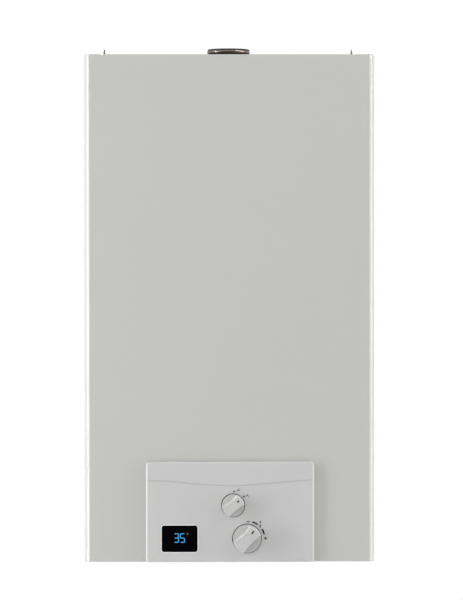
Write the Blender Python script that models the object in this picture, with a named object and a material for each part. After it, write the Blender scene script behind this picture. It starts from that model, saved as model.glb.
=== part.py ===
# Wall-hung gas water heater with a fan: a folded steel cover over a chassis that carries the burner,
# the heat exchanger, the fan, the gas side, the water side and the control panel with its two knobs.
# Units are metres. X runs to the right, Y runs into the wall and Z runs up.
# The model's origin lies on the wall, in the middle of the bracket that the heater hangs on.
# Every piece is a child of the empty "heater", where Z is measured from the cover's bottom edge.

import math

import bmesh
import bpy
from mathutils import Matrix, Vector

# Shared clearances and round counts
gap = 0.0003  # clearance between pieces that seat on each other
overrun = 0.002  # how far a cutter runs past what it cuts
round_steps = 20  # sides of a middle-sized round piece
large_round_steps = 28
small_round_steps = 10
corner_steps = 4  # faces in a rounded corner
bend_steps = 2  # faces along a pipe's bend

# Casing
case_width = 0.350
case_height = 0.612
case_depth = 0.200  # wall to the cover's front face
sheet = 0.001  # cover, chassis and plates
edge_radius = 0.007  # upright edges of the cover
fold_radius = 0.0012  # folds along the cover's top and bottom
wall_clearance = 0.0008  # cover's rear edges to the wall
top_rim = 0.034  # flange turned in along the cover's top
bottom_rim = 0.022  # flange turned in along the cover's bottom
wall_gap = 0.008  # wall to the rear panel
hang_drop = 0.064  # cover's top to the hooks' upper faces

# Wall bracket
bracket_width = 0.240
bracket_height = 0.040
bracket_sheet = 0.0015
hook_offset = 0.070
hook_width = 0.016
hook_rise = 0.008
slot_side_clearance = 0.002
slot_drop = 0.011  # room below a hook in its slot
bracket_hole_radius = 0.0035
bracket_hole_offset = 0.095
panel_hole_radius = 0.0035
panel_hole_offset = 0.120
panel_hole_height = 0.060

# Top plate, its studs and their cap nuts
top_flange_drop = 0.018
top_flange_inset = 0.0237  # its ends, in from the chassis' sides
stud_left_inset = 0.024  # in from the cover's left side
stud_right_inset = 0.027
stud_setback = 0.022  # behind the cover's front face
stud_radius = 0.002
stud_head_radius = 0.004
stud_head = 0.0015
stud_rise = 0.0055  # above the cover's top
nut_flats = 0.007
nut_hex_height = 0.0032
nut_height = 0.0080
stud_hole_clearance = 0.0006

# Bottom plate and the cover's lower screws
recess = 0.022  # cover's bottom edge to the bottom plate
bottom_flange_rise = 0.015
lug_setback = 0.050  # screws behind the cover's front face
lug_inset = 0.009  # screws in from the cover's side
lug_width = 0.016
lug_foot = 0.013
screw_radius = 0.0018
screw_head_radius = 0.0038
screw_head = 0.0022
screw_face_share = 0.75  # flat middle of the head against its radius
screw_length = 0.008
screw_hole_clearance = 0.0005

# Control panel
panel_left = 0.101
panel_right = 0.102
panel_height = 0.121
panel_proud = 0.005
panel_corner = 0.003
panel_border = 0.0036  # width of the rounded border
panel_face_wall = 0.0023
panel_side_wall = 0.003
groove_end_height = 0.0985
groove_drop = 0.0065
groove_width = 0.0011
groove_depth = 0.0006
groove_steps = 20
cutout_inset = 0.008  # cover's cutout, in from the panel's outline

# Control box, its board and what sits on it
box_inset = 0.0095  # in from the panel's outline
box_wall = 0.002
box_reach = 0.035  # cover's front face to the box's rear face
box_post_radius = 0.003
box_post_inset = 0.008
box_cable_hole = 0.007
box_clearance = 0.001  # to the bottom plate's notch
box_support_rise = 0.030
board_inset = 0.020  # cover's front face to the board's
board_sheet = 0.0016
board_clearance = 0.001
window_left = 0.0807
window_right = 0.0389
window_low = 0.0128
window_high = 0.0432
window_radius = 0.0028
window_glass = 0.0018
window_sink = 0.0003
module_border = 0.001

# Knobs, their shafts and the parts they turn
mode_x = 0.0041
mode_height = 0.0686
mode_radius = 0.0136
mode_grip_end = 0.0064
mode_grip_waist = 0.0048
mode_grip_height = 0.011
mode_angle = 37.0
temperature_x = 0.0208
temperature_height = 0.0285
temperature_radius = 0.0172
temperature_grip_end = 0.0078
temperature_grip_waist = 0.0058
temperature_grip_height = 0.013
temperature_angle = 44.5
knob_base = 0.0040  # rim's height over the panel
knob_round = 0.0008
knob_sink = 0.0012  # knob's foot below the panel's face
knob_recess = 0.0015
knob_side_clearance = 0.0006
grip_crown_share = 0.93  # grip's top outline against its foot
grip_steps = 8
shaft_radius = 0.003
shaft_hole_clearance = 0.0012
bore_cap = 0.003  # solid left over the shaft in the grip
switch_size = 0.019
switch_depth = 0.011
switch_bore_depth = 0.007
dial_radius = 0.010
dial_depth = 0.009

# Flue collar and its gasket
flue_x = 0.0005
collar_radius = 0.0256
collar_bulge = 0.0010
collar_wall = 0.001
collar_rise = 0.0140  # above the cover's top
collar_band = 0.0075  # height of the bulged band
collar_flange_radius = 0.038
gasket_sheet = 0.0015
gasket_inset = 0.001
collar_hole_clearance = 0.0006

# Chamber shell, fin block and its tubes
shell_side = 0.055  # cover's side to the shell's side
shell_inset = 0.035  # cover's front face to the shell's
shell_rear = 0.035  # wall to the shell's rear
shell_drop = 0.160  # cover's top to the shell's top
shell_wall = 0.0012
shell_corner = 0.010
tube_radius = 0.008
tube_pitch = 0.035
tube_drop = 0.028  # shell's top to the tubes' axes
tube_overhang = 0.010
tube_count = 3
fin_count = 8
fin_sheet = 0.001
fin_height = 0.040
fin_side_clearance = 0.002
bend_wall = 0.001

# Coil round the chamber and the water pipes
pipe_radius = 0.006
pipe_bore = 0.005
coil_start = 0.024  # its first turn above the tray
coil_share = 1 / 3  # height of its turns against the height between the tray and the tubes
coil_turns = 2
coil_bend = 0.014
riser_reach = 0.018  # from a fin tube's end to the middle of the pipe that climbs to it
pipe_shift_offset = 0.01685  # cold pipe's shift above the middle between the sensor and the tray
hot_shift_height = 0.120
pipe_sides = 6

# Burner
tray_drop = 0.102  # its lower edge below the middle of the cover's height
tray_height = 0.064
tray_lip = 0.010
tray_margin = 0.006  # slot and manifold in from the tray's sides
slot_height = 0.016
tray_sheet = 0.0012
bar_count = 9
bar_width = 0.010
bar_height = 0.048
bar_end_clearance = 0.008
rail_height = 0.006
rail_width = 0.006
bracket_arm_inset = 0.022  # in from the shell's side
bracket_arm_width = 0.016
chamber_bracket_sheet = 0.002
bracket_leg = 0.030
bracket_arm_end = 0.158
manifold_radius = 0.008
manifold_rise = 0.018  # above the tray's lower edge
manifold_setback = 0.0095  # its surface to the tray's front
injector_radius = 0.0028
injector_length = 0.012
injector_shoulder_share = 0.7  # where its tip starts, against its length
injector_tip_share = 0.5  # its end against its radius
manifold_wall = 0.0015
electrode_radius = 0.0035
electrode_rod_radius = 0.0009
electrode_x = 0.018
electrode_rise = 0.0085  # above the tray
electrode_outside = 0.012
electrode_inside = 0.010
electrode_reach = 0.025
electrode_flange = 0.003
electrode_flange_radius = 0.0055
electrode_end_share = 0.8  # its outer end against its radius
ear_width = 0.010

# Flue hood
hood_sheet = 0.0012
hood_skirt = 0.028
duct_width = 0.100
duct_depth = 0.032
hood_drop = 0.022  # cover's top to the hood's top

# Fan
fan_x = 0.0475  # flue's axis to the fan's axis
fan_drop = 0.064  # cover's top to the fan's axis
wheel_radius = 0.042
wheel_width = 0.034
wheel_plate = 0.0015
wheel_ring_share = 0.76  # blade ring's inner radius against the wheel's
blade_count = 16
blade_sheet = 0.0010
blade_lean = 35.0
hub_radius = 0.008
scroll_clearance = 0.004
scroll_depth = 0.050
scroll_wall = 0.0012
scroll_steps = 28
scroll_throat = 0.0270  # half the outlet's width
scroll_inlet_share = 0.70
motor_radius = 0.028
motor_length = 0.040
motor_boss = 0.008
motor_boss_radius = 0.012
fan_shaft_radius = 0.0025

# Air pressure switch and its tube
pressure_inset = 0.049  # in from the cover's inner side
pressure_drop = 0.092  # cover's top to the switch's middle
pressure_radius = 0.030
pressure_depth = 0.020
nozzle_radius = 0.0022
nozzle_length = 0.010
hose_radius = 0.0042
hose_bore = 0.0030

# Gas side
gas_setback = 0.070  # connections' axes to the wall
gas_x = 0.0
fitting_radius = 0.0105
fitting_bore = 0.008
fitting_hex = 0.0125
fitting_hex_height = 0.006
fitting_foot = 0.003  # fittings' lower ends above the cover's bottom edge
fitting_top = 0.042
fitting_hole_clearance = 0.0006
thread_pitch = 0.0018
thread_depth = 0.0009
thread_turns = 5
thread_sides = 16
valve_width = 0.080
valve_depth = 0.056
valve_height = 0.056
valve_corner = 0.004
outlet_x = 0.022
coil_x = -0.018
solenoid_radius = 0.016
solenoid_height = 0.034
plunger_radius = 0.0060
plunger_travel = 0.003
plunger_length = 0.030
plunger_drop = 0.010  # how far it reaches down into the valve
gas_shift_offset = 0.00885  # gas pipe's shift above the middle between the valve and the tray
gas_pipe_radius = 0.006
gas_pipe_bore = 0.005

# Water side
water_inset = 0.075  # in from the cover's side
sensor_height = 0.050
sensor_radius = 0.0125
sensor_bore = 0.0095
spider_width = 0.004
spider_sheet = 0.0025
rotor_radius = 0.0085
rotor_length = 0.012
rotor_blades = 5
rotor_hub = 0.0025
rotor_pin = 0.0012
rotor_twist = 50.0  # degrees from a blade's foot to its top
hall_width = 0.014
hall_depth = 0.008
hall_height = 0.018
filter_radius = 0.0070
filter_length = 0.016
filter_wall = 0.0010
filter_ribs = 5
filter_flange = 0.0016

# Small parts fixed to the chassis
igniter_inset = 0.039  # in from the cover's inner side
igniter_width = 0.046
igniter_height = 0.070
igniter_depth = 0.028
igniter_drop = 0.084  # its foot below the tray
igniter_neck = 0.004
lead_radius = 0.0022
lead_bend = 0.010  # straight part in front of the electrode, with its bend
lead_bend_share = 0.9  # bends against the lead's reach in front of the electrode
neck_share = 1.8  # igniter's neck against the lead
lead_inset = 0.008
gland_inset = 0.034  # in from the cover's inner side
gland_setback = 0.040
gland_radius = 0.009
gland_bore = 0.004
gland_flange = 0.0125
gland_tip_share = 0.8  # its lower end against its radius
gland_foot = 0.008
gland_rise = 0.034
thermostat_radius = 0.008
thermostat_depth = 0.009
thermostat_x = 0.060
thermostat_drop = 0.067  # shell's top to its middle
probe_radius = 0.004
probe_length = 0.022
probe_height = 0.180

# Places that several pieces share
half = case_width / 2
inner_half = half - sheet
chassis_half = inner_half - gap
front_inside = -case_depth + sheet
box_back = case_depth - box_reach
board_front = case_depth - board_inset
shell_front = case_depth - shell_inset
rear_face = -wall_gap - sheet  # rear panel's inner face
rear_seat = rear_face - gap
plate_top = case_height - sheet - gap  # top plate's upper face
plate_low = plate_top - sheet
panel_face = -case_depth - panel_proud
panel_seat = -case_depth - gap
box_front = panel_face + panel_face_wall + gap
shell_half = half - shell_side
shell_middle = -(shell_front + shell_rear) / 2
connection_y = -gas_setback
fan_axis_x = flue_x - fan_x
scroll_rear = -shell_rear - duct_depth - gap
scroll_front = scroll_rear - scroll_depth
flue_y = (scroll_front + scroll_rear) / 2
tube_end = shell_half + tube_overhang
hang_height = case_height - hang_drop
stud_left = half - stud_left_inset
stud_right = half - stud_right_inset
fan_height = case_height - fan_drop
hood_high = case_height - hood_drop
pressure_x = inner_half - pressure_inset
pressure_height = case_height - pressure_drop
shell_high = case_height - shell_drop
tube_height = shell_high - tube_drop
thermostat_height = shell_high - thermostat_drop
tray_low = case_height / 2 - tray_drop
tray_high = tray_low + tray_height
shell_low = tray_high + gap
coil_low = tray_high + coil_start
coil_rise = (tube_height - tray_high) * coil_share / coil_turns  # per turn
bracket_arm_x = shell_half - bracket_arm_inset
manifold_height = tray_low + manifold_rise
electrode_height = tray_high + electrode_rise
fitting_seat = fitting_top + gap
water_x = half - water_inset
sensor_top = fitting_seat + sensor_height
valve_top = fitting_seat + valve_height
pipe_shift_height = (sensor_top + tray_low) / 2 + pipe_shift_offset
gas_shift_height = (valve_top + tray_low) / 2 + gas_shift_offset
igniter_x = inner_half - igniter_inset
igniter_low = tray_low - igniter_drop
gland_x = inner_half - gland_inset

# Clear the scene
for old in list(bpy.data.objects):
    bpy.data.objects.remove(old, do_unlink=True)

heater = bpy.data.objects.new("heater", None)
bpy.context.collection.objects.link(heater)
heater.location = (0, 0, -hang_height)


# Outlines, as points in a plane
def arc(centre, radius, start, end, steps):
    points = []
    for step in range(steps + 1):
        angle = math.radians(start + (end - start) * step / steps)
        points.append((centre[0] + radius * math.cos(angle), centre[1] + radius * math.sin(angle)))
    return points


def circle(centre, radius, steps=round_steps):
    return arc(centre, radius, 0, 360, steps)[:-1]


def rectangle(low, high):
    return [(low[0], low[1]), (high[0], low[1]), (high[0], high[1]), (low[0], high[1])]


def rounded_rectangle(low, high, radius, steps=corner_steps):
    corners = (
        ((low[0] + radius, low[1] + radius), 180),
        ((high[0] - radius, low[1] + radius), 270),
        ((high[0] - radius, high[1] - radius), 0),
        ((low[0] + radius, high[1] - radius), 90),
    )
    points = []
    for centre, start in corners:
        points += arc(centre, radius, start, start + 90, steps)
    return points


def case_outline(inset, back):
    """The cover's outline from above, moved in by inset, with its open back at y = back."""
    side = half - inset
    front = -case_depth + inset
    radius = edge_radius - inset
    left = arc((-side + radius, front + radius), radius, 180, 270, corner_steps)
    right = arc((side - radius, front + radius), radius, 270, 360, corner_steps)
    return [(-side, back)] + left + right + [(side, back)]


# Meshes
def place_point(point, height, axis):
    first, second = point
    if axis == "X":
        return Vector((height, first, second))
    if axis == "Y":
        return Vector((first, height, second))
    return Vector((first, second, height))


def mesh_of(bm, turn=None):
    bmesh.ops.recalc_face_normals(bm, faces=bm.faces)
    if turn is not None:
        bmesh.ops.transform(bm, matrix=turn, verts=bm.verts)
    mesh = bpy.data.meshes.new("shape")
    bm.to_mesh(mesh)
    bm.free()
    mesh.shade_smooth()
    mesh.set_sharp_from_angle(angle=math.radians(35))
    return mesh


def loft(rings, turn=None):
    """A solid through rings of equally many points, with its two end rings filled."""
    bm = bmesh.new()
    loops = [[bm.verts.new(point) for point in ring] for ring in rings]
    for lower, upper in zip(loops, loops[1:]):
        for step in range(len(lower)):
            after = (step + 1) % len(lower)
            bm.faces.new((lower[step], lower[after], upper[after], upper[step]))
    bm.faces.new(loops[0])
    bm.faces.new(loops[-1])
    return mesh_of(bm, turn)


def prism(points, start, end, axis="Z"):
    return loft([[place_point(point, height, axis) for point in points] for height in (start, end)])


def block(low, high):
    return prism(rectangle(low[:2], high[:2]), low[2], high[2])


def rod(centre, radius, start, end, axis="Z", steps=round_steps):
    return prism(circle(centre, radius, steps), start, end, axis)


def thin_rod(centre, radius, start, end, axis="Z"):
    return rod(centre, radius, start, end, axis, small_round_steps)


def wall_ring(outer, inner, start, end, axis="Z"):
    """A wall between two outlines of equally many points."""
    bm = bmesh.new()
    rings = []
    for points, height in ((outer, start), (outer, end), (inner, end), (inner, start)):
        rings.append([bm.verts.new(place_point(point, height, axis)) for point in points])
    for ring, following in zip(rings, rings[1:] + rings[:1]):
        for step in range(len(ring)):
            after = (step + 1) % len(ring)
            bm.faces.new((ring[step], ring[after], following[after], following[step]))
    return mesh_of(bm)


def turned(profile, steps=round_steps, closed=False, turn=None):
    """A profile of (radius, height) turned about Z. An open profile starts and ends on the axis."""
    bm = bmesh.new()
    rings = []
    for radius, height in profile:
        if radius == 0:
            rings.append([bm.verts.new((0, 0, height))])
            continue
        rings.append([bm.verts.new((*point, height)) for point in circle((0, 0), radius, steps)])
    following = rings[1:] + (rings[:1] if closed else [])
    for ring, other in zip(rings, following):
        for step in range(steps):
            after = (step + 1) % steps
            corners = [ring[step % len(ring)], ring[after % len(ring)]]
            corners += [other[after % len(other)], other[step % len(other)]]
            corners = list(dict.fromkeys(corners))
            if len(corners) > 2:  # two points on the axis have no face between them
                bm.faces.new(corners)
    return mesh_of(bm, turn)


def rounded_path(points, radius, steps=bend_steps):
    """A path through points in space, with an arc of the given radius at each bend."""
    path = [Vector(points[0])]
    for before, bend, after in zip(points, points[1:], points[2:]):
        bend = Vector(bend)
        towards = (Vector(before) - bend).normalized()
        away = (Vector(after) - bend).normalized()
        half_angle = towards.angle(away) / 2
        reach = radius / math.tan(half_angle)
        start = bend + towards * reach
        end = bend + away * reach
        centre = bend + (towards + away).normalized() * radius / math.sin(half_angle)
        for step in range(steps + 1):
            share = step / steps
            spoke = (start - centre).slerp(end - centre, share)
            path.append(centre + spoke.normalized() * radius)
    path.append(Vector(points[-1]))
    return path


def swept(path, radius, bore=0, sides=pipe_sides):
    """A round bar or, with a bore, an open pipe along a path of points."""
    bm = bmesh.new()
    directions = []
    for index in range(len(path)):
        before = path[max(index - 1, 0)]
        after = path[min(index + 1, len(path) - 1)]
        directions.append((after - before).normalized())
    across = directions[0].orthogonal().normalized()
    outer = []
    inner = []
    for point, direction in zip(path, directions):
        across = (across - direction * across.dot(direction)).normalized()
        other = direction.cross(across)
        for rings, size in ((outer, radius), (inner, bore)):
            ring = []
            for first, second in circle((0, 0), size, sides):
                ring.append(bm.verts.new(point + across * first + other * second))
            rings.append(ring)
    skins = (outer, inner) if bore else (outer,)
    for rings in skins:
        for ring, following in zip(rings, rings[1:]):
            for step in range(sides):
                after = (step + 1) % sides
                bm.faces.new((ring[step], ring[after], following[after], following[step]))
    for end in (0, -1):
        if not bore:
            bm.faces.new(outer[end])
            continue
        for step in range(sides):
            after = (step + 1) % sides
            ends = (outer[end][step], outer[end][after], inner[end][after], inner[end][step])
            bm.faces.new(ends)
    if not bore:
        bmesh.ops.delete(bm, geom=[v for ring in inner for v in ring], context="VERTS")
    return mesh_of(bm)


# Objects
def piece(name, mesh, colour, roughness, metallic=0.0, at=(0, 0, 0)):
    mesh.name = name
    made = bpy.data.objects.new(name, mesh)
    bpy.context.collection.objects.link(made)
    made.parent = heater
    made.location = at
    material = bpy.data.materials.new(name)
    material.use_nodes = True
    shader = material.node_tree.nodes["Principled BSDF"]
    shader.inputs["Base Color"].default_value = (*colour, 1.0)
    shader.inputs["Roughness"].default_value = roughness
    shader.inputs["Metallic"].default_value = metallic
    mesh.materials.append(material)
    return made


def boolean(target, mesh, operation, at=(0, 0, 0)):
    count = len(target.modifiers) + 1
    tool = bpy.data.objects.new(f"{target.name}_tool_{count}", mesh)
    bpy.context.collection.objects.link(tool)
    tool.parent = heater
    tool.location = Vector(target.location) + Vector(at)
    tool.hide_render = True
    tool.display_type = "WIRE"
    modifier = target.modifiers.new(f"{operation.lower()}_{count}", "BOOLEAN")
    modifier.object = tool
    modifier.operation = operation
    modifier.solver = "EXACT"


def cut(target, mesh, at=(0, 0, 0)):
    boolean(target, mesh, "DIFFERENCE", at)


def join(target, mesh, at=(0, 0, 0)):
    boolean(target, mesh, "UNION", at)


# Finishes
white_paint = (0.55, 0.55, 0.53)
zinc = (0.55, 0.56, 0.57)
copper = (0.72, 0.38, 0.24)
brass = (0.66, 0.50, 0.24)
black_plastic = (0.02, 0.02, 0.02)
white_plastic = (0.58, 0.58, 0.57)


# Casing
def make_front_cover():
    rings = []
    fold_steps = 2
    for step in range(fold_steps + 1):
        angle = math.radians(90) * step / fold_steps
        inset = fold_radius * (1 - math.sin(angle))
        height = fold_radius * (1 - math.cos(angle))
        rings.append([(*point, height) for point in case_outline(inset, -wall_clearance)])
    for ring in reversed(rings[: fold_steps + 1]):
        rings.append([(first, second, case_height - height) for first, second, height in ring])
    cover = piece("front_cover", loft(rings), white_paint, 0.35)
    hollow = prism(case_outline(sheet, overrun), sheet, case_height - sheet)
    cut(cover, hollow)
    top_hole = rectangle((-half + top_rim, -case_depth + top_rim), (half - top_rim, overrun))
    cut(cover, prism(top_hole, plate_low, case_height + overrun))
    low_hole = rectangle((-half + bottom_rim, -case_depth + bottom_rim), (half - bottom_rim, overrun))
    cut(cover, prism(low_hole, -overrun, sheet + overrun))
    cutout = rectangle(
        (-panel_left + cutout_inset, cutout_inset),
        (panel_right - cutout_inset, panel_height - cutout_inset),
    )
    cut(cover, prism(cutout, -case_depth - overrun, front_inside + overrun, "Y"))
    for x in (-stud_left, stud_right):
        centre = (x, -case_depth + stud_setback)
        hole = stud_radius + stud_hole_clearance
        cut(cover, thin_rod(centre, hole, plate_low, case_height + overrun))
    for x in (-half + lug_inset, half - lug_inset):
        centre = (x, -case_depth + lug_setback)
        hole = screw_radius + screw_hole_clearance
        cut(cover, thin_rod(centre, hole, -overrun, sheet + overrun))


def make_wall_bracket():
    low = hang_height - bracket_height / 2
    reach = bracket_width / 2
    plate = block((-reach, -bracket_sheet, low), (reach, 0, low + bracket_height))
    bracket = piece("wall_bracket", plate, zinc, 0.4, 1.0)
    lip_back = rear_face - gap
    lip_front = lip_back - bracket_sheet
    stem_low = hang_height - bracket_sheet
    hook = [
        (-bracket_sheet / 2, stem_low),
        (lip_front, stem_low),
        (lip_front, hang_height + hook_rise),
        (lip_back, hang_height + hook_rise),
        (lip_back, hang_height),
        (-bracket_sheet / 2, hang_height),
    ]
    for x in (-hook_offset, hook_offset):
        join(bracket, prism(hook, x - hook_width / 2, x + hook_width / 2, "X"))
    for x in (-bracket_hole_offset, bracket_hole_offset):
        hole = rod((x, hang_height), bracket_hole_radius, -bracket_sheet - overrun, overrun, "Y")
        cut(bracket, hole)


def make_rear_panel():
    side = chassis_half - sheet
    outline = [
        (-chassis_half, 0),
        (-chassis_half, rear_face),
        (chassis_half, rear_face),
        (chassis_half, 0),
        (side, 0),
        (side, -wall_gap),
        (-side, -wall_gap),
        (-side, 0),
    ]
    panel = piece("rear_panel", prism(outline, sheet + gap, plate_low - gap), zinc, 0.45, 1.0)
    slot_half = hook_width / 2 + slot_side_clearance
    for x in (-hook_offset, hook_offset):
        slot = rectangle(
            (x - slot_half, hang_height - bracket_sheet - slot_drop), (x + slot_half, hang_height + gap)
        )
        cut(panel, prism(slot, rear_face - overrun, -wall_gap + overrun, "Y"))
    for x in (-panel_hole_offset, panel_hole_offset):
        centre = (x, panel_hole_height)
        hole = thin_rod(centre, panel_hole_radius, rear_face - overrun, -wall_gap + overrun, "Y")
        cut(panel, hole)


def make_top_plate():
    plate = prism(case_outline(sheet + gap, -wall_clearance), plate_low, plate_top)
    top = piece("top_plate", plate, white_paint, 0.4)
    reach = chassis_half - top_flange_inset
    flange_low = plate_low - top_flange_drop
    flange = block((-reach, rear_seat - sheet, flange_low), (reach, rear_seat, plate_low + sheet / 2))
    join(top, flange)
    hole = collar_radius + collar_hole_clearance
    cut(top, rod((flue_x, flue_y), hole, plate_low - overrun, plate_top + overrun, steps=large_round_steps))
    for x in (-stud_left, stud_right):
        centre = (x, -case_depth + stud_setback)
        cut(top, thin_rod(centre, stud_radius + gap, plate_low - overrun, plate_top + overrun))


def make_cover_stud(name, x):
    low = plate_low - gap - stud_head
    profile = [
        (0, low),
        (stud_head_radius, low),
        (stud_head_radius, plate_low - gap),
        (stud_radius, plate_low - gap),
        (stud_radius, case_height + stud_rise),
        (0, case_height + stud_rise),
    ]
    piece(name, turned(profile, small_round_steps), zinc, 0.3, 1.0, (x, -case_depth + stud_setback, 0))


def make_cap_nut(name, x):
    low = case_height + gap
    dome_radius = nut_flats / 2
    corner = dome_radius / math.cos(math.radians(30))
    hexagon = prism(circle((0, 0), corner, 6), low, low + nut_hex_height)
    nut = piece(name, hexagon, (0.62, 0.61, 0.58), 0.18, 1.0, (x, -case_depth + stud_setback, 0))
    top = low + nut_height
    side = arc((0, top - dome_radius), dome_radius, 10, 90, corner_steps)
    dome = [(0, low + nut_hex_height / 2), (side[0][0], low + nut_hex_height / 2)]
    join(nut, turned(dome + side[:-1] + [(0, top)]))
    bore = [(0, low - overrun), (stud_radius + gap, low - overrun)]
    bore += [(stud_radius + gap, case_height + stud_rise + gap), (0, case_height + stud_rise + gap)]
    cut(nut, turned(bore, small_round_steps))


def make_bottom_plate():
    low = recess
    high = recess + sheet
    outline = case_outline(sheet + gap, rear_seat)
    bottom = piece("bottom_plate", prism(outline, low, high), zinc, 0.45, 1.0)
    flange = block(
        (-chassis_half + bottom_rim, rear_seat - sheet, low + sheet / 2),
        (chassis_half - bottom_rim, rear_seat, high + bottom_flange_rise),
    )
    join(bottom, flange)
    left = -panel_left + box_inset - box_clearance
    right = panel_right - box_inset + box_clearance
    notch = rectangle((left, -case_depth - overrun), (right, -box_back + gap))
    cut(bottom, prism(notch, low - overrun, high + overrun))
    support = block(
        (left + overrun, -box_back + gap, low + sheet / 2),
        (right - overrun, -box_back + gap + sheet, high + box_support_rise),
    )
    join(bottom, support)
    foot_low = sheet + gap
    for side in (-1, 1):
        screw_x = side * (half - lug_inset)
        web_x = screw_x - side * lug_foot / 2
        foot_x = screw_x + side * lug_foot / 2
        y = -case_depth + lug_setback
        near = min(web_x, web_x + side * sheet)
        web = block(
            (near, y - lug_width / 2, foot_low),
            (near + sheet, y + lug_width / 2, high - sheet / 2),
        )
        foot = block(
            (min(web_x, foot_x), y - lug_width / 2, foot_low),
            (max(web_x, foot_x), y + lug_width / 2, foot_low + sheet),
        )
        join(bottom, web)
        join(bottom, foot)
        hole = thin_rod((screw_x, y), screw_radius + gap, foot_low - overrun, foot_low + sheet + overrun)
        cut(bottom, hole)
    for x in (-water_x, gas_x, water_x):
        hole = fitting_radius + fitting_hole_clearance
        cut(bottom, rod((x, connection_y), hole, low - overrun, high + overrun))
    hole = gland_radius + fitting_hole_clearance
    cut(bottom, rod((gland_x, -gland_setback), hole, low - overrun, high + overrun))


def make_cover_screw(name, x):
    profile = [
        (0, -gap - screw_head),
        (screw_head_radius * screw_face_share, -gap - screw_head),
        (screw_head_radius, -gap - screw_head / 2),
        (screw_head_radius, -gap),
        (screw_radius, -gap),
        (screw_radius, screw_length),
        (0, screw_length),
    ]
    piece(name, turned(profile, small_round_steps), zinc, 0.3, 1.0, (x, -case_depth + lug_setback, 0))


def make_cable_gland():
    under = recess - gap
    over = recess + sheet + gap
    profile = [
        (gland_bore, gland_foot),
        (gland_radius * gland_tip_share, gland_foot),
        (gland_flange, under - gland_foot / 2),
        (gland_flange, under),
        (gland_radius, under),
        (gland_radius, gland_rise),
        (gland_bore, gland_rise),
    ]
    body = turned(profile, round_steps, True)
    gland = piece("cable_gland", body, black_plastic, 0.5, 0.0, (gland_x, -gland_setback, 0))
    collar = [
        (gland_radius - gap, over),
        (gland_flange, over),
        (gland_flange, over + gland_bore),
        (gland_radius - gap, over + gland_bore),
    ]
    join(gland, turned(collar, 6, True))


# Control panel
def panel_outline(inset, radius):
    low = (-panel_left + inset, inset)
    high = (panel_right - inset, panel_height - inset)
    return rounded_rectangle(low, high, radius)


def groove_height(x):
    """The groove's height at x: level ends and a shallow dip in the middle."""
    share = (x + panel_left) / (panel_left + panel_right)
    return groove_end_height - groove_drop * (1 - math.cos(2 * math.pi * share)) / 2


def make_control_panel():
    rings = [[place_point(point, panel_seat, "Y") for point in panel_outline(0, panel_corner)]]
    border_steps = 4
    for step in range(border_steps + 1):
        angle = math.radians(90) * step / border_steps
        inset = panel_border * (1 - math.cos(angle))
        y = panel_face + panel_border * (1 - math.sin(angle))
        rings.append([place_point(point, y, "Y") for point in panel_outline(inset, panel_corner)])
    panel = piece("control_panel", loft(rings), white_plastic, 0.45)
    cavity = panel_outline(panel_side_wall, panel_corner)
    cut(panel, prism(cavity, panel_face + panel_face_wall, panel_seat + overrun, "Y"))
    window = rounded_rectangle(
        (-window_left - gap, window_low - gap), (-window_right + gap, window_high + gap), window_radius
    )
    cut(panel, prism(window, panel_face - overrun, panel_seat, "Y"))
    knobs = (
        (mode_x, mode_height, mode_radius),
        (temperature_x, temperature_height, temperature_radius),
    )
    for x, height, radius in knobs:
        recess_radius = radius + knob_side_clearance
        front = panel_face - overrun
        ring = circle((x, height), recess_radius, large_round_steps)
        cut(panel, prism(ring, front, panel_face + knob_recess, "Y"))
        hole = shaft_radius + shaft_hole_clearance
        cut(panel, thin_rod((x, height), hole, panel_face, panel_seat, "Y"))
    left = -panel_left - overrun
    length = panel_left + panel_right + 2 * overrun
    section = []
    for step in range(groove_steps + 1):
        x = left + length * step / groove_steps
        z = groove_height(min(max(x, -panel_left), panel_right))
        bottom = (x, panel_face + groove_depth, z)
        upper = (x, panel_face - groove_depth, z + groove_width)
        lower = (x, panel_face - groove_depth, z - groove_width)
        section.append([bottom, upper, lower])
    cut(panel, loft(section))


def make_display_window():
    low = (-window_left, window_low)
    high = (-window_right, window_high)
    outline = rounded_rectangle(low, high, window_radius - gap)
    front = panel_face + window_sink
    window = prism(outline, front, front + window_glass, "Y")
    piece("display_window", window, black_plastic, 0.08)


def make_control_box():
    outline = panel_outline(box_inset, panel_corner)
    box = piece("control_box", prism(outline, box_front, -box_back, "Y"), (0.12, 0.12, 0.12), 0.6)
    inner = panel_outline(box_inset + box_wall, panel_corner - box_wall / 2)
    cut(box, prism(inner, box_front - overrun, -box_back - box_wall, "Y"))
    post_inset = box_inset + box_wall + box_post_inset
    board_rear = -board_front + board_sheet
    for x in (-panel_left + post_inset, panel_right - post_inset):
        for z in (post_inset, panel_height - post_inset):
            post = thin_rod((x, z), box_post_radius, board_rear + gap, -box_back - box_wall / 2, "Y")
            join(box, post)
    centre = (-panel_left / 2, panel_height - post_inset - box_cable_hole)
    cut(box, thin_rod(centre, box_cable_hole, -box_back - box_wall - overrun, -box_back + overrun, "Y"))


def make_control_board():
    inset = box_inset + box_wall + board_clearance
    outline = panel_outline(inset, board_clearance)
    board = prism(outline, -board_front, -board_front + board_sheet, "Y")
    piece("control_board", board, (0.03, 0.20, 0.08), 0.5)


def make_display_module():
    low = (-window_left + module_border, window_low + module_border)
    high = (-window_right - module_border, window_high - module_border)
    front = panel_face + window_sink + window_glass + gap
    module = prism(rectangle(low, high), front, -board_front - gap, "Y")
    piece("display_module", module, (0.05, 0.05, 0.05), 0.4)


def make_mode_switch():
    rear = -board_front - gap
    front = rear - switch_depth
    size = switch_size / 2
    low = (mode_x - size, mode_height - size)
    high = (mode_x + size, mode_height + size)
    body = piece("mode_switch", prism(rectangle(low, high), front, rear, "Y"), black_plastic, 0.4)
    bore = rod((mode_x, mode_height), shaft_radius + gap, front - overrun, front + switch_bore_depth, "Y")
    cut(body, bore)


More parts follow.
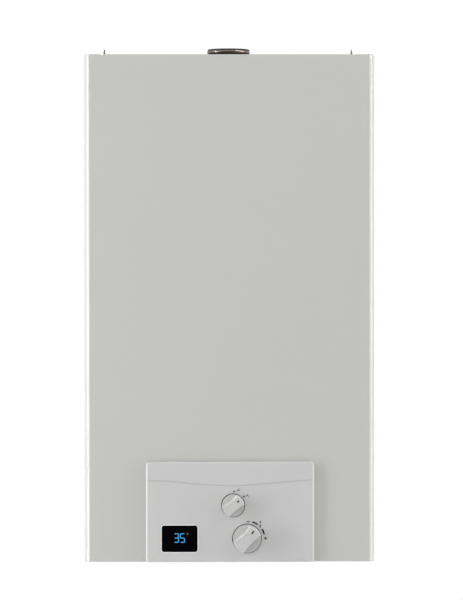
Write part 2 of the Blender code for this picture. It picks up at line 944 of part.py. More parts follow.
def make_temperature_dial():
    rear = -board_front - gap
    front = rear - dial_depth
    centre = (temperature_x, temperature_height)
    body = piece("temperature_dial", rod(centre, dial_radius, front, rear, "Y"), zinc, 0.35, 1.0)
    cut(body, rod(centre, shaft_radius + gap, front - overrun, rear - board_sheet, "Y"))


# Knobs
facing = Matrix.Rotation(math.radians(90), 4, "X")  # a shape built upwards then points out of the panel


def grip_outline(radius, end, waist):
    """Seen from the front: round ends on the knob's own radius, with hollow sides between them."""
    reach = math.degrees(math.asin(end / radius))
    side = []
    span = radius * math.cos(math.radians(reach))
    for step in range(1, grip_steps):
        share = 1 - 2 * step / grip_steps
        side.append((span * share, waist + (end - waist) * share * share))
    points = arc((0, 0), radius, -reach, reach, corner_steps)
    points += side
    points += arc((0, 0), radius, 180 - reach, 180 + reach, corner_steps)
    points += [(-x, -y) for x, y in side]
    return points


def make_knob(name, place, radius, end, waist, height, angle):
    rim = [(0, -knob_sink), (radius, -knob_sink), (radius, knob_base - knob_round)]
    for step in range(1, 3):
        turn = math.radians(45 * step)
        inset = knob_round * (1 - math.cos(turn))
        rim.append((radius - inset, knob_base - knob_round * (1 - math.sin(turn))))
    rim.append((0, knob_base))
    at = (place[0], panel_face, place[1])
    knob = piece(name, turned(rim, large_round_steps, turn=facing), white_plastic, 0.4, 0.0, at)
    points = grip_outline(radius - knob_round, end, waist)
    heights = ((0, 1), (height - knob_round, 0.5 + grip_crown_share / 2), (height, grip_crown_share))
    rings = [[(x * size, y * size, level) for x, y in points] for level, size in heights]
    turn = facing @ Matrix.Rotation(math.radians(angle), 4, "Z")
    join(knob, loft(rings, turn))
    bore = [(0, -knob_sink - overrun), (shaft_radius + gap, -knob_sink - overrun)]
    bore += [(shaft_radius + gap, height - bore_cap), (0, height - bore_cap)]
    cut(knob, turned(bore, turn=facing))


def make_knob_shaft(name, place, rear, height):
    """A shaft from its bore in the part behind to the knob's bore; its origin is on the joint's axis."""
    front = panel_face - height + bore_cap + gap
    shaft = rod((0, 0), shaft_radius, front - panel_face, rear - panel_face, "Y")
    piece(name, shaft, white_plastic, 0.5, 0.0, (place[0], panel_face, place[1]))


def make_knobs():
    mode = (mode_x, mode_height)
    make_knob("mode_knob", mode, mode_radius, mode_grip_end, mode_grip_waist, mode_grip_height, mode_angle)
    switch_rear = -board_front - gap - switch_depth + switch_bore_depth - gap
    make_knob_shaft("mode_shaft", mode, switch_rear, mode_grip_height)
    temperature = (temperature_x, temperature_height)
    make_knob(
        "temperature_knob",
        temperature,
        temperature_radius,
        temperature_grip_end,
        temperature_grip_waist,
        temperature_grip_height,
        temperature_angle,
    )
    dial_rear = -board_front - gap - board_sheet - gap
    make_knob_shaft("temperature_shaft", temperature, dial_rear, temperature_grip_height)


# Flue
def make_flue_collar():
    low = plate_low - gap
    flange_low = plate_top + gap + gasket_sheet + gap
    flange_high = flange_low + collar_wall
    top = case_height + collar_rise
    profile = [
        (collar_radius, low),
        (collar_radius, flange_low),
        (collar_flange_radius, flange_low),
        (collar_flange_radius, flange_high),
        (collar_radius, flange_high),
    ]
    band_steps = 5
    for step in range(band_steps + 1):
        share = step / band_steps
        bulge = collar_bulge * math.sin(math.pi * share)
        profile.append((collar_radius + bulge, top - collar_band * (1 - share)))
    profile += [(collar_radius - collar_wall, top), (collar_radius - collar_wall, low)]
    collar = turned(profile, large_round_steps, True)
    piece("flue_collar", collar, (0.42, 0.38, 0.34), 0.22, 1.0, (flue_x, flue_y, 0))


def make_collar_gasket():
    low = plate_top + gap
    inner = collar_radius + gap
    outer = collar_flange_radius - gasket_inset
    profile = [(inner, low), (outer, low), (outer, low + gasket_sheet), (inner, low + gasket_sheet)]
    ring = turned(profile, large_round_steps, True)
    piece("collar_gasket", ring, black_plastic, 0.8, 0.0, (flue_x, flue_y, 0))


def scroll_outline(wall):
    """The fan's spiral about the fan's axis, moved in by wall, with its outlet upwards."""
    inner = wheel_radius + scroll_clearance + scroll_wall - wall
    outlet = fan_x
    right = outlet + scroll_throat - wall
    left = outlet - scroll_throat + wall
    top = plate_low - 2 * gap - fan_height
    start = math.acos(left / inner)
    points = []
    for step in range(scroll_steps + 1):
        share = step / scroll_steps
        angle = start + (2 * math.pi - start) * share
        radius = inner + (right - inner) * share
        points.append((radius * math.cos(angle), radius * math.sin(angle)))
    reach = top + (overrun if wall else 0)
    points += [(right, reach), (left, reach)]
    return points


def make_fan_housing():
    housing = piece(
        "fan_housing",
        prism(scroll_outline(0), scroll_front, scroll_rear, "Y"),
        zinc,
        0.4,
        1.0,
        (fan_axis_x, 0, fan_height),
    )
    inner = prism(scroll_outline(scroll_wall), scroll_front + scroll_wall, scroll_rear - scroll_wall, "Y")
    cut(housing, inner)
    inlet = wheel_radius * scroll_inlet_share
    cut(housing, rod((0, 0), inlet, scroll_rear - scroll_wall - overrun, scroll_rear + overrun, "Y"))
    motor_hole = motor_boss_radius + gap
    cut(housing, rod((0, 0), motor_hole, scroll_front - overrun, scroll_front + scroll_wall + overrun, "Y"))


def make_fan_wheel():
    """Curved blades between a back plate on the motor's side and a ring on the inlet's side."""
    front = scroll_front + (scroll_depth - wheel_width) / 2
    rear = front + wheel_width
    at = (fan_axis_x, 0, fan_height)
    plate = rod((0, 0), wheel_radius, front, front + wheel_plate, "Y", large_round_steps)
    wheel = piece("fan_wheel", plate, (0.60, 0.61, 0.62), 0.35, 1.0, at)
    ring_inner = wheel_radius * wheel_ring_share
    ring = wall_ring(
        circle((0, 0), wheel_radius, large_round_steps),
        circle((0, 0), ring_inner, large_round_steps),
        rear - wheel_plate,
        rear,
        "Y",
    )
    join(wheel, ring)
    blade_outer = wheel_radius - wheel_plate
    blade_inner = ring_inner + wheel_plate
    for index in range(blade_count):
        angle = math.radians(360 * index / blade_count)
        lean = math.radians(blade_lean)
        foot = Vector((blade_inner * math.cos(angle), blade_inner * math.sin(angle)))
        tip_angle = angle + lean / 2
        tip = Vector((blade_outer * math.cos(tip_angle), blade_outer * math.sin(tip_angle)))
        across = (tip - foot).orthogonal().normalized() * blade_sheet / 2
        bow = (foot + tip) / 2 - foot.normalized() * blade_sheet
        outline = [foot - across, bow - across, tip - across, tip + across, bow + across, foot + across]
        join(wheel, prism(outline, front + wheel_plate / 2, rear - wheel_plate / 2, "Y"))
    hub_end = front + wheel_width / 2
    join(wheel, rod((0, 0), hub_radius, front + wheel_plate / 2, hub_end, "Y"))
    cut(wheel, thin_rod((0, 0), fan_shaft_radius + gap, front - overrun, hub_end + overrun, "Y"))


def make_fan_motor():
    rear = scroll_front - gap
    front = rear - motor_length
    at = (fan_axis_x, 0, fan_height)
    body = rod((0, 0), motor_radius, front, rear, "Y")
    motor = piece("fan_motor", body, (0.10, 0.10, 0.11), 0.45, 0.0, at)
    wheel_front = scroll_front + (scroll_depth - wheel_width) / 2
    boss_end = min(rear + motor_boss, wheel_front - gap)
    join(motor, rod((0, 0), motor_boss_radius, rear - overrun, boss_end, "Y"))
    cut(motor, thin_rod((0, 0), fan_shaft_radius + gap, front + motor_boss, boss_end + overrun, "Y"))


def make_fan_shaft():
    wheel_front = scroll_front + (scroll_depth - wheel_width) / 2
    start = scroll_front - gap - motor_length + motor_boss + gap
    shaft = thin_rod((0, 0), fan_shaft_radius, start, wheel_front + wheel_width / 2, "Y")
    piece("fan_shaft", shaft, zinc, 0.25, 1.0, (fan_axis_x, 0, fan_height))


def make_flue_hood():
    """A skirt over the heat exchanger with a flat box at its rear that leads up to the fan's inlet."""
    low = shell_high + gap
    skirt_high = low + hood_skirt
    skirt = block((-shell_half, -shell_front, low), (shell_half, -shell_rear, skirt_high))
    hood = piece("flue_hood", skirt, (0.50, 0.51, 0.52), 0.45, 1.0)
    left = fan_axis_x - duct_width / 2
    right = fan_axis_x + duct_width / 2
    rear = -shell_rear
    wall = hood_sheet
    join(hood, block((left, rear - duct_depth, low + wall), (right, rear, hood_high)))
    skirt_inside = block(
        (-shell_half + wall, -shell_front + wall, low - overrun),
        (shell_half - wall, rear - wall, skirt_high - wall),
    )
    cut(hood, skirt_inside)
    duct_front = rear - duct_depth
    duct_low = (left + wall, duct_front + wall, low)
    duct_inside = block(duct_low, (right - wall, rear - wall, hood_high - wall))
    cut(hood, duct_inside)
    inlet = wheel_radius * scroll_inlet_share
    hole = rod((fan_axis_x, fan_height), inlet, duct_front - overrun, duct_front + wall + overrun, "Y")
    cut(hood, hole)


def make_pressure_switch():
    rear = rear_seat
    front = rear - pressure_depth
    at = (pressure_x, 0, pressure_height)
    disc = rod((0, 0), pressure_radius, front, rear, "Y")
    switch = piece("pressure_switch", disc, (0.16, 0.16, 0.17), 0.45, 0.0, at)
    join(switch, thin_rod((0, 0), nozzle_radius, front - nozzle_length, front + overrun, "Y"))


def make_pressure_tube():
    """From the switch's nozzle to the top of the hood's skirt."""
    start_y = rear_seat - pressure_depth - gap
    end_x = shell_half - duct_depth
    end = (end_x, shell_middle, shell_high + gap + hood_skirt + gap)
    points = [
        (pressure_x, start_y, pressure_height),
        (pressure_x, shell_middle, pressure_height),
        (end_x, shell_middle, pressure_height),
        end,
    ]
    path = rounded_path(points, duct_depth / 2)
    piece("pressure_tube", swept(path, hose_radius, hose_bore), (0.55, 0.12, 0.08), 0.55)


# Heat exchanger
def shell_outline(inset):
    low = (-shell_half + inset, -shell_front + inset)
    high = (shell_half - inset, -shell_rear - inset)
    return rounded_rectangle(low, high, shell_corner - inset)


def tube_rows():
    middle = (tube_count - 1) / 2
    return [shell_middle + (row - middle) * tube_pitch for row in range(tube_count)]


def make_chamber_shell():
    wall = wall_ring(shell_outline(0), shell_outline(shell_wall), shell_low, shell_high)
    shell = piece("chamber_shell", wall, copper, 0.35, 1.0)
    inside = shell_half - shell_wall - overrun
    outside = shell_half + overrun
    for row in tube_rows():
        cut(shell, thin_rod((row, tube_height), tube_radius + gap, inside, outside, "X"))
        cut(shell, thin_rod((row, tube_height), tube_radius + gap, -outside, -inside, "X"))
    for x in (-electrode_x, electrode_x):
        hole = electrode_radius + gap
        front = -shell_front
        inside = front + shell_wall
        cut(shell, thin_rod((x, electrode_height), hole, front - overrun, inside + overrun, "Y"))


def make_fin_block():
    inside = -shell_front + shell_wall + fin_side_clearance
    outside = -shell_rear - shell_wall - fin_side_clearance
    low = tube_height - fin_height / 2
    fins_half = shell_half - shell_corner
    reach = shell_half + tube_overhang
    rows = tube_rows()
    tube = thin_rod((rows[0], tube_height), tube_radius, -reach, reach, "X")
    fins = piece("fin_block", tube, copper, 0.35, 1.0)
    for row in rows[1:]:
        join(fins, thin_rod((row, tube_height), tube_radius, -reach, reach, "X"))
    spacing = (2 * fins_half - fin_sheet) / (fin_count - 1)
    for index in range(fin_count):
        x = -fins_half + spacing * index
        join(fins, block((x, inside, low), (x + fin_sheet, outside, low + fin_height)))
    bore_reach = reach + overrun
    for row in rows:
        cut(fins, thin_rod((row, tube_height), tube_radius - bend_wall, -bore_reach, bore_reach, "X"))


def make_return_bend(name, side, row):
    """A half turn of tube that joins two neighbouring tubes of the fin block outside the shell."""
    start_x = side * (shell_half + tube_overhang + gap)
    radius = tube_pitch / 2
    centre = row + radius
    path = [Vector((start_x, centre - radius, tube_height))]
    for x, y in arc((overrun, 0), radius, -90, 90, 3 * bend_steps):
        path.append(Vector((start_x + side * x, centre + y, tube_height)))
    path.append(Vector((start_x, centre + radius, tube_height)))
    piece(name, swept(path, tube_radius, tube_radius - bend_wall), copper, 0.35, 1.0)


def make_chamber_coil():
    """Water pipe that climbs round the shell, then rises on the right to the front fin tube."""
    offset = pipe_radius + gap
    side = shell_half + offset
    front = -shell_front - offset
    rear = -shell_rear + offset
    corners = ((side, front), (-side, front), (-side, rear), (side, rear))
    points = [(side, shell_middle, tray_high + gap), (side, shell_middle, coil_low)]
    for turn in range(coil_turns):
        for index, corner in enumerate(corners):
            points.append((*corner, coil_low + coil_rise * (turn + (index + 0.5) / len(corners))))
    top = coil_low + coil_rise * coil_turns
    end = tube_end + gap
    row = tube_rows()[0]
    riser = end + riser_reach
    points += [(side, row, top), (riser, row, top + riser_reach), (riser, row, tube_height)]
    points.append((end, row, tube_height))
    path = rounded_path(points, coil_bend)
    piece("chamber_coil", swept(path, pipe_radius, pipe_bore), copper, 0.3, 1.0)


def make_cold_pipe():
    side = shell_half + pipe_radius + gap
    points = [
        (water_x, connection_y, sensor_top + gap),
        (water_x, connection_y, pipe_shift_height),
        (side, shell_middle, pipe_shift_height),
        (side, shell_middle, tray_high),
    ]
    path = rounded_path(points, coil_bend)
    piece("cold_pipe", swept(path, pipe_radius, pipe_bore), copper, 0.3, 1.0)


def make_hot_pipe():
    row = tube_rows()[-1]
    end = -tube_end - gap
    points = [
        (end, row, tube_height),
        (end - riser_reach, row, tube_height),
        (end - riser_reach, row, hot_shift_height),
        (-water_x, connection_y, hot_shift_height),
        (-water_x, connection_y, fitting_seat),
    ]
    path = rounded_path(points, coil_bend)
    piece("hot_pipe", swept(path, pipe_radius, pipe_bore), copper, 0.3, 1.0)


def make_overheat_thermostat():
    rear = -shell_front - gap
    front = rear - thermostat_depth
    centre = (thermostat_x, thermostat_height)
    body = piece("overheat_thermostat", rod(centre, thermostat_radius, front, rear, "Y"), zinc, 0.3, 1.0)
    low = (thermostat_x - thermostat_radius / 2, thermostat_height - thermostat_radius / 4)
    high = (thermostat_x + thermostat_radius / 2, thermostat_height + thermostat_radius / 4)
    join(body, prism(rectangle(low, high), front - thermostat_depth / 2, front + gap, "Y"))


def make_temperature_probe():
    """A probe whose rear end is hollowed to sit on the hot pipe."""
    x = -tube_end - gap - riser_reach
    row = tube_rows()[-1]
    body = thin_rod((x, probe_height), probe_radius, row - pipe_radius - probe_length, row, "Y")
    probe = piece("temperature_probe", body, brass, 0.3, 1.0)
    low = probe_height - probe_radius - overrun
    cut(probe, rod((x, row), pipe_radius + gap, low, low + 2 * (probe_radius + overrun)))


# Burner
def make_chamber_bracket(name, x):
    top = tray_low - gap
    low = top - chamber_bracket_sheet
    profile = [
        (rear_seat, low - bracket_leg),
        (rear_seat, top),
        (-bracket_arm_end, top),
        (-bracket_arm_end, low),
        (rear_seat - chamber_bracket_sheet, low),
        (rear_seat - chamber_bracket_sheet, low - bracket_leg),
    ]
    reach = bracket_arm_width / 2
    piece(name, prism(profile, x - reach, x + reach, "X"), zinc, 0.45, 1.0)


def make_burner_tray():
    wall = wall_ring(shell_outline(0), shell_outline(tray_sheet), tray_low, tray_high)
    tray = piece("burner_tray", wall, zinc, 0.4, 1.0)
    lip_outline = shell_outline(tray_sheet / 2)
    lip = wall_ring(lip_outline, shell_outline(tray_lip), tray_low, tray_low + tray_sheet)
    join(tray, lip)
    low = (-shell_half + tray_margin, manifold_height - slot_height / 2)
    high = (shell_half - tray_margin, manifold_height + slot_height / 2)
    front = -shell_front
    slot = prism(rectangle(low, high), front - overrun, front + tray_sheet + overrun, "Y")
    cut(tray, slot)


def bar_places():
    reach = shell_half - tray_margin - bar_width
    return [-reach + 2 * reach * index / (bar_count - 1) for index in range(bar_count)]


def make_burner_comb():
    """Flat burner bars on two rails, resting on the tray's lip."""
    low = tray_low + tray_sheet + gap
    front = -shell_front + tray_sheet + bar_end_clearance
    rear = -shell_rear - tray_sheet - bar_end_clearance
    rail_front = -shell_front + tray_sheet + gap
    rail_rear = -shell_rear - tray_sheet - gap
    rail_reach = shell_half - tray_sheet - gap - shell_corner
    rail_top = low + rail_height
    rail = block((-rail_reach, rail_front, low), (rail_reach, rail_front + rail_width, rail_top))
    comb = piece("burner_comb", rail, (0.50, 0.50, 0.50), 0.4, 1.0)
    join(comb, block((-rail_reach, rail_rear - rail_width, low), (rail_reach, rail_rear, rail_top)))
    half_bar = bar_width / 2
    for x in bar_places():
        foot = (x - half_bar / 2, rail_front + rail_width / 2, low + rail_height / 2)
        join(comb, block(foot, (x + half_bar / 2, rail_rear - rail_width / 2, rail_top)))
        join(comb, block((x - half_bar, front, rail_top - gap), (x + half_bar, rear, low + bar_height)))


def make_gas_manifold():
    y = -shell_front - manifold_setback - manifold_radius
    reach = shell_half - tray_margin
    bar = rod((y, manifold_height), manifold_radius, -reach, reach, "X")
    manifold = piece("gas_manifold", bar, brass, 0.35, 1.0)
    for side in (-1, 1):
        x = side * (reach - ear_width / 2)
        low = (x - ear_width / 2, y, manifold_height - ear_width / 2)
        high = (x + ear_width / 2, -shell_front - gap, manifold_height + ear_width / 2)
        join(manifold, block(low, high))
    for x in bar_places():
        profile = [
            (0, 0),
            (injector_radius, 0),
            (injector_radius, injector_length * injector_shoulder_share),
            (injector_radius * injector_tip_share, injector_length),
            (0, injector_length),
        ]
        jet = turned(profile, pipe_sides, turn=Matrix.Rotation(math.radians(-90), 4, "X"))
        join(manifold, jet, (x, y + manifold_radius - gap, manifold_height))
    bore = manifold_radius - manifold_wall
    inner = reach - ear_width
    cut(manifold, thin_rod((y, manifold_height), bore, -inner, inner, "X"))
    inlet_low = manifold_height - manifold_radius - overrun
    cut(manifold, thin_rod((outlet_x, y), gas_pipe_bore, inlet_low, manifold_height))


def make_electrode(name, x):
    """A ceramic body through the shell's front wall, with a rod that reaches over the burner."""
    seat = -shell_front - gap
    tip = electrode_inside + electrode_reach
    profile = [
        (0, -electrode_outside),
        (electrode_radius * electrode_end_share, -electrode_outside),
        (electrode_radius, -electrode_flange),
        (electrode_flange_radius, -electrode_flange),
        (electrode_flange_radius, 0),
        (electrode_radius, 0),
        (electrode_radius, electrode_inside),
        (electrode_rod_radius, electrode_inside),
        (electrode_rod_radius, tip),
        (0, tip),
    ]
    along = Matrix.Rotation(math.radians(-90), 4, "X")
    body = turned(profile, small_round_steps, turn=along)
    piece(name, body, (0.75, 0.73, 0.68), 0.4, 0.0, (x, seat, electrode_height))


def make_ignition_lead():
    """From the ignition electrode round the right side of the chamber to the igniter."""
    start_y = -shell_front - 2 * gap - electrode_outside
    out_y = start_y - lead_bend
    x = igniter_x + igniter_width / 2 - lead_inset
    back = rear_seat - igniter_depth / 2
    points = [
        (electrode_x, start_y, electrode_height),
        (electrode_x, out_y, electrode_height),
        (x, out_y, electrode_height),
        (x, back, electrode_height),
        (x, back, igniter_low + igniter_height + igniter_neck + gap),
    ]
    path = rounded_path(points, lead_bend * lead_bend_share)
    piece("ignition_lead", swept(path, lead_radius), (0.55, 0.12, 0.08), 0.55)


def make_igniter():
    low = (igniter_x - igniter_width / 2, rear_seat - igniter_depth, igniter_low)
    high = (igniter_x + igniter_width / 2, rear_seat, igniter_low + igniter_height)
    igniter = piece("igniter", block(low, high), black_plastic, 0.5)
    x = igniter_x + igniter_width / 2 - lead_inset
    top = igniter_low + igniter_height
    centre = (x, rear_seat - igniter_depth / 2)
    join(igniter, thin_rod(centre, lead_radius * neck_share, top - gap, top + igniter_neck))


# Gas and water connections
def make_fitting(name, x):
    """A threaded pipe end that hangs from the bottom plate, with a hexagon under the plate."""
    hex_high = recess - gap
    hex_low = hex_high - fitting_hex_height
    profile = [(fitting_bore, fitting_foot)]
    for turn in range(thread_turns):
        low = fitting_foot + thread_pitch * turn
        profile.append((fitting_radius - thread_depth, low))
        profile.append((fitting_radius, low + thread_pitch / 2))
    profile += [
        (fitting_radius - thread_depth, fitting_foot + thread_pitch * thread_turns),
        (fitting_radius - thread_depth, hex_low + gap),
        (fitting_radius, hex_low + gap),
        (fitting_radius, fitting_top),
        (fitting_bore, fitting_top),
    ]
    fitting = piece(name, turned(profile, thread_sides, True), brass, 0.3, 1.0, (x, connection_y, 0))
    hexagon = wall_ring(
        circle((0, 0), fitting_hex / math.cos(math.radians(30)), 6),
        circle((0, 0), (fitting_bore + fitting_radius) / 2, 6),
        hex_low,
        hex_high,
    )
    join(fitting, hexagon)


def make_inlet_filter():
    low = recess + sheet
    profile = [
        (filter_radius - filter_wall, low),
        (fitting_bore - gap, low),
        (fitting_bore - gap, low + filter_flange),
    ]
    for rib in range(filter_ribs):
        z = low + filter_flange + (filter_length - filter_flange) * rib / filter_ribs
        profile.append((filter_radius - filter_wall / 3, z + gap))
        profile.append((filter_radius, z + filter_length / filter_ribs / 2))
    profile += [(filter_radius - filter_wall / 3, low + filter_length)]
    profile += [(0, low + filter_length), (0, low + filter_length - filter_wall)]
    profile += [(filter_radius - filter_wall, low + filter_length - filter_wall)]
    mesh = turned(profile, small_round_steps, True)
    piece("inlet_filter", mesh, (0.75, 0.76, 0.74), 0.5, 0.0, (water_x, connection_y, 0))


def make_flow_sensor():
    low = fitting_seat
    at = (water_x, connection_y, 0)
    tube = wall_ring(circle((0, 0), sensor_radius), circle((0, 0), sensor_bore), low, low + sensor_height)
    sensor = piece("flow_sensor", tube, black_plastic, 0.45, 0.0, at)
    front = -sensor_radius - hall_depth
    hall_low = low + (sensor_height - hall_height) / 2
    reach = sensor_bore + gap
    hall = block((-hall_width / 2, front, hall_low), (hall_width / 2, -reach, hall_low + hall_height))
    join(sensor, hall)
    for z in spider_levels():
        bar = block((-reach, -spider_width / 2, z), (reach, spider_width / 2, z + spider_sheet))
        join(sensor, bar)
        cut(sensor, thin_rod((0, 0), rotor_pin + gap, z - overrun, z + spider_sheet + overrun))


def spider_levels():
    """Heights of the two cross bars that carry the rotor's pin."""
    middle = fitting_seat + sensor_height / 2
    reach = rotor_length / 2 + gap
    return (middle - reach - spider_sheet, middle + reach)


def make_flow_rotor():
    at = (water_x, connection_y, fitting_seat + sensor_height / 2)
    pin_reach = rotor_length / 2 + gap + spider_sheet
    hub = rod((0, 0), rotor_hub, -rotor_length / 2, rotor_length / 2)
    rotor = piece("flow_rotor", hub, (0.8, 0.8, 0.78), 0.4, 0.0, at)
    join(rotor, thin_rod((0, 0), rotor_pin, -pin_reach, pin_reach))
    for index in range(rotor_blades):
        angle = 2 * math.pi * index / rotor_blades
        rings = []
        for step in range(corner_steps):
            share = step / (corner_steps - 1)
            turn = angle + share * math.radians(rotor_twist)
            along = Vector((math.cos(turn), math.sin(turn), 0))
            across = Vector((-math.sin(turn), math.cos(turn), 0)) * rotor_pin / 2
            z = Vector((0, 0, (share - 0.5) * (rotor_length - 2 * gap)))
            near = along * rotor_pin
            far = along * rotor_radius
            rings.append([near - across + z, far - across + z, far + across + z, near + across + z])
        join(rotor, loft(rings))


def make_gas_valve():
    low = fitting_seat
    high = low + valve_height
    outline = rounded_rectangle(
        (gas_x - valve_width / 2, connection_y - valve_depth / 2),
        (gas_x + valve_width / 2, connection_y + valve_depth / 2),
        valve_corner,
    )
    valve = piece("gas_valve", prism(outline, low, high), (0.60, 0.61, 0.62), 0.45, 1.0)
    port = valve_height / 3
    cut(valve, rod((gas_x, connection_y), fitting_bore, low - overrun, low + port))
    cut(valve, thin_rod((outlet_x, connection_y), gas_pipe_bore, high - port, high + overrun))
    plunger_low = high - plunger_drop - gap
    cut(valve, rod((coil_x, connection_y), plunger_radius + gap, plunger_low, high + overrun))


def make_solenoid_coil():
    low = valve_top + gap
    centre = (coil_x, connection_y)
    body = rod(centre, solenoid_radius, low, low + solenoid_height)
    coil = piece("solenoid_coil", body, black_plastic, 0.4)
    bore_top = low - gap - plunger_drop + plunger_length + plunger_travel + gap
    cut(coil, rod(centre, plunger_radius + gap, low - overrun, bore_top))


def make_valve_plunger():
    low = valve_top - plunger_drop
    plunger = rod((0, 0), plunger_radius, 0, plunger_length)
    piece("valve_plunger", plunger, zinc, 0.3, 1.0, (coil_x, connection_y, low))


def make_gas_pipe():
    manifold_y = -shell_front - manifold_setback - manifold_radius
    points = [
        (outlet_x, connection_y, valve_top + gap),
        (outlet_x, connection_y, gas_shift_height),
        (outlet_x, manifold_y, gas_shift_height),
        (outlet_x, manifold_y, manifold_height - manifold_radius - gap),
    ]
    path = rounded_path(points, coil_bend)
    piece("gas_pipe", swept(path, gas_pipe_radius, gas_pipe_bore), copper, 0.3, 1.0)


make_front_cover()
make_wall_bracket()
make_rear_panel()
make_top_plate()
for side_name, stud_x in (("left", -stud_left), ("right", stud_right)):
    make_cover_stud(f"cover_stud_{side_name}", stud_x)
    make_cap_nut(f"cap_nut_{side_name}", stud_x)
make_bottom_plate()
for side_name, side_sign in (("left", -1), ("right", 1)):
    make_cover_screw(f"cover_screw_{side_name}", side_sign * (half - lug_inset))
    make_chamber_bracket(f"chamber_bracket_{side_name}", side_sign * bracket_arm_x)
make_cable_gland()
make_control_panel()
make_display_window()
make_control_box()
make_control_board()
make_display_module()
make_mode_switch()
make_temperature_dial()
make_knobs()
make_flue_collar()
make_collar_gasket()
make_fan_housing()
make_fan_wheel()
make_fan_motor()
make_fan_shaft()
make_flue_hood()
make_pressure_switch()
make_pressure_tube()
make_chamber_shell()
make_fin_block()
make_return_bend("return_bend_left", -1, tube_rows()[0])
make_return_bend("return_bend_right", 1, tube_rows()[1])
make_chamber_coil()
make_cold_pipe()
make_hot_pipe()
make_overheat_thermostat()
make_temperature_probe()
make_burner_tray()
make_burner_comb()
make_gas_manifold()
make_electrode("ignition_electrode", electrode_x)
make_electrode("flame_electrode", -electrode_x)
make_ignition_lead()
make_igniter()
for fitting_name, fitting_x in (("hot_outlet", -water_x), ("gas_inlet", gas_x), ("cold_inlet", water_x)):
    make_fitting(fitting_name, fitting_x)
make_inlet_filter()
make_flow_sensor()
make_flow_rotor()
make_gas_valve()
make_solenoid_coil()
make_valve_plunger()
make_gas_pipe()
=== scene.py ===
# Looks of a wall-hung gas water heater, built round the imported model.
# Metres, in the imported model's own frame: the wall is at y = 0 and the heater's front looks along -y.
import math

import bmesh
import bpy
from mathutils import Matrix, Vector


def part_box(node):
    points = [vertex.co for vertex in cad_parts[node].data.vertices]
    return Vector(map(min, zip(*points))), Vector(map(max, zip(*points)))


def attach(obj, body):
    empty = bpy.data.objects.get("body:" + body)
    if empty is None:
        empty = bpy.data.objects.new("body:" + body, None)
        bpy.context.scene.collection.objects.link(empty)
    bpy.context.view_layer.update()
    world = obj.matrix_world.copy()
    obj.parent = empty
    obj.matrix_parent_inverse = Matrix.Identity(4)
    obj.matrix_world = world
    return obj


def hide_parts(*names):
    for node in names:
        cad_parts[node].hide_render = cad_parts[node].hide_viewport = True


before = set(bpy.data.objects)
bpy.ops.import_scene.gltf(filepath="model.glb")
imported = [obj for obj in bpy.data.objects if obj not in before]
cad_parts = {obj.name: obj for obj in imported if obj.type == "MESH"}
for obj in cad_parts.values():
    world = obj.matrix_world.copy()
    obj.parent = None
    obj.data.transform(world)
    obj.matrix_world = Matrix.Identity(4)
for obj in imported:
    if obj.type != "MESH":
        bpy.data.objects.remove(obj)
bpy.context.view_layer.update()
print("the packed model is loaded")

# Tools for picking up, shaping and finishing a piece
hair = 0.0001  # slack where edges are looked for, and how far a fine cut runs over
overlap = 0.001  # how far shapes that are joined, and deeper cuts, run over
layAlong = {"Y": (math.pi / 2, 0, 0), "Z": (0, 0, 0)}  # along Y, a shape's top points out of the front


def leaveMesh():
    bpy.ops.object.mode_set(mode="OBJECT")


def clearSelection():
    if bpy.context.mode != "OBJECT":
        leaveMesh()
    bpy.ops.object.select_all(action="DESELECT")


def takeUp(*pieces):
    clearSelection()
    for piece in pieces:
        piece.select_set(True)
    bpy.context.view_layer.objects.active = pieces[0]
    return pieces[0]


def settle(piece):  # its place, turn and size go into its mesh
    takeUp(piece)
    bpy.ops.object.transform_apply(location=True, rotation=True, scale=True)
    return piece


def throwAway(piece):
    bpy.data.objects.remove(piece, do_unlink=True)


def addBlock(name, low, high):
    clearSelection()
    bpy.ops.mesh.primitive_cube_add(size=1, location=(Vector(low) + Vector(high)) / 2)
    piece = bpy.context.object
    piece.name = name
    piece.scale = Vector(high) - Vector(low)
    return settle(piece)


def addRod(name, centre, radius, length, sides, axis="Z"):
    clearSelection()
    bpy.ops.mesh.primitive_cylinder_add(
        vertices=sides, radius=radius, depth=length, location=centre, rotation=layAlong[axis]
    )
    piece = bpy.context.object
    piece.name = name
    return settle(piece)


def openMesh(piece, kind):
    takeUp(piece)
    bpy.ops.object.mode_set(mode="EDIT")
    bpy.ops.mesh.select_mode(type=kind)
    bpy.ops.mesh.select_all(action="DESELECT")


def openWhole(piece):  # with all of the mesh picked
    openMesh(piece, "VERT")
    bpy.ops.mesh.select_all(action="SELECT")


def pickFaces(piece, wanted):  # wanted gets the normal of each face
    openMesh(piece, "FACE")
    mesh = bmesh.from_edit_mesh(piece.data)
    for face in mesh.faces:
        face.select_set(bool(wanted(face.normal)))
    bmesh.update_edit_mesh(piece.data)


def pickEdges(piece, wanted):  # wanted gets the two ends of each edge
    openMesh(piece, "EDGE")
    mesh = bmesh.from_edit_mesh(piece.data)
    for edge in mesh.edges:
        edge.select_set(bool(wanted(edge.verts[0].co, edge.verts[1].co)))
    bmesh.update_edit_mesh(piece.data)


def bevelPicked(width, steps, shape=0.5):  # a shape under 0.5 is flatter than a quarter circle
    bpy.ops.mesh.bevel(offset=width, segments=steps, affect="EDGES", profile=shape)
    leaveMesh()


def roundCorners(piece, width, steps, shortest=0.001):  # the corners that the front view shows
    pickEdges(piece, lambda a, b: abs(a.y - b.y) > shortest)
    bevelPicked(width, steps)


def roundRim(piece, front, width, steps):  # the edge all round the front face
    pickEdges(piece, lambda a, b: max(a.y, b.y) < front + hair)
    bevelPicked(width, steps)


def addModifier(piece, kind, **settings):
    takeUp(piece)
    modifier = piece.modifiers.new(kind.lower(), kind)
    for setting, value in settings.items():
        setattr(modifier, setting, value)
    bpy.ops.object.modifier_apply(modifier=modifier.name)
    return piece


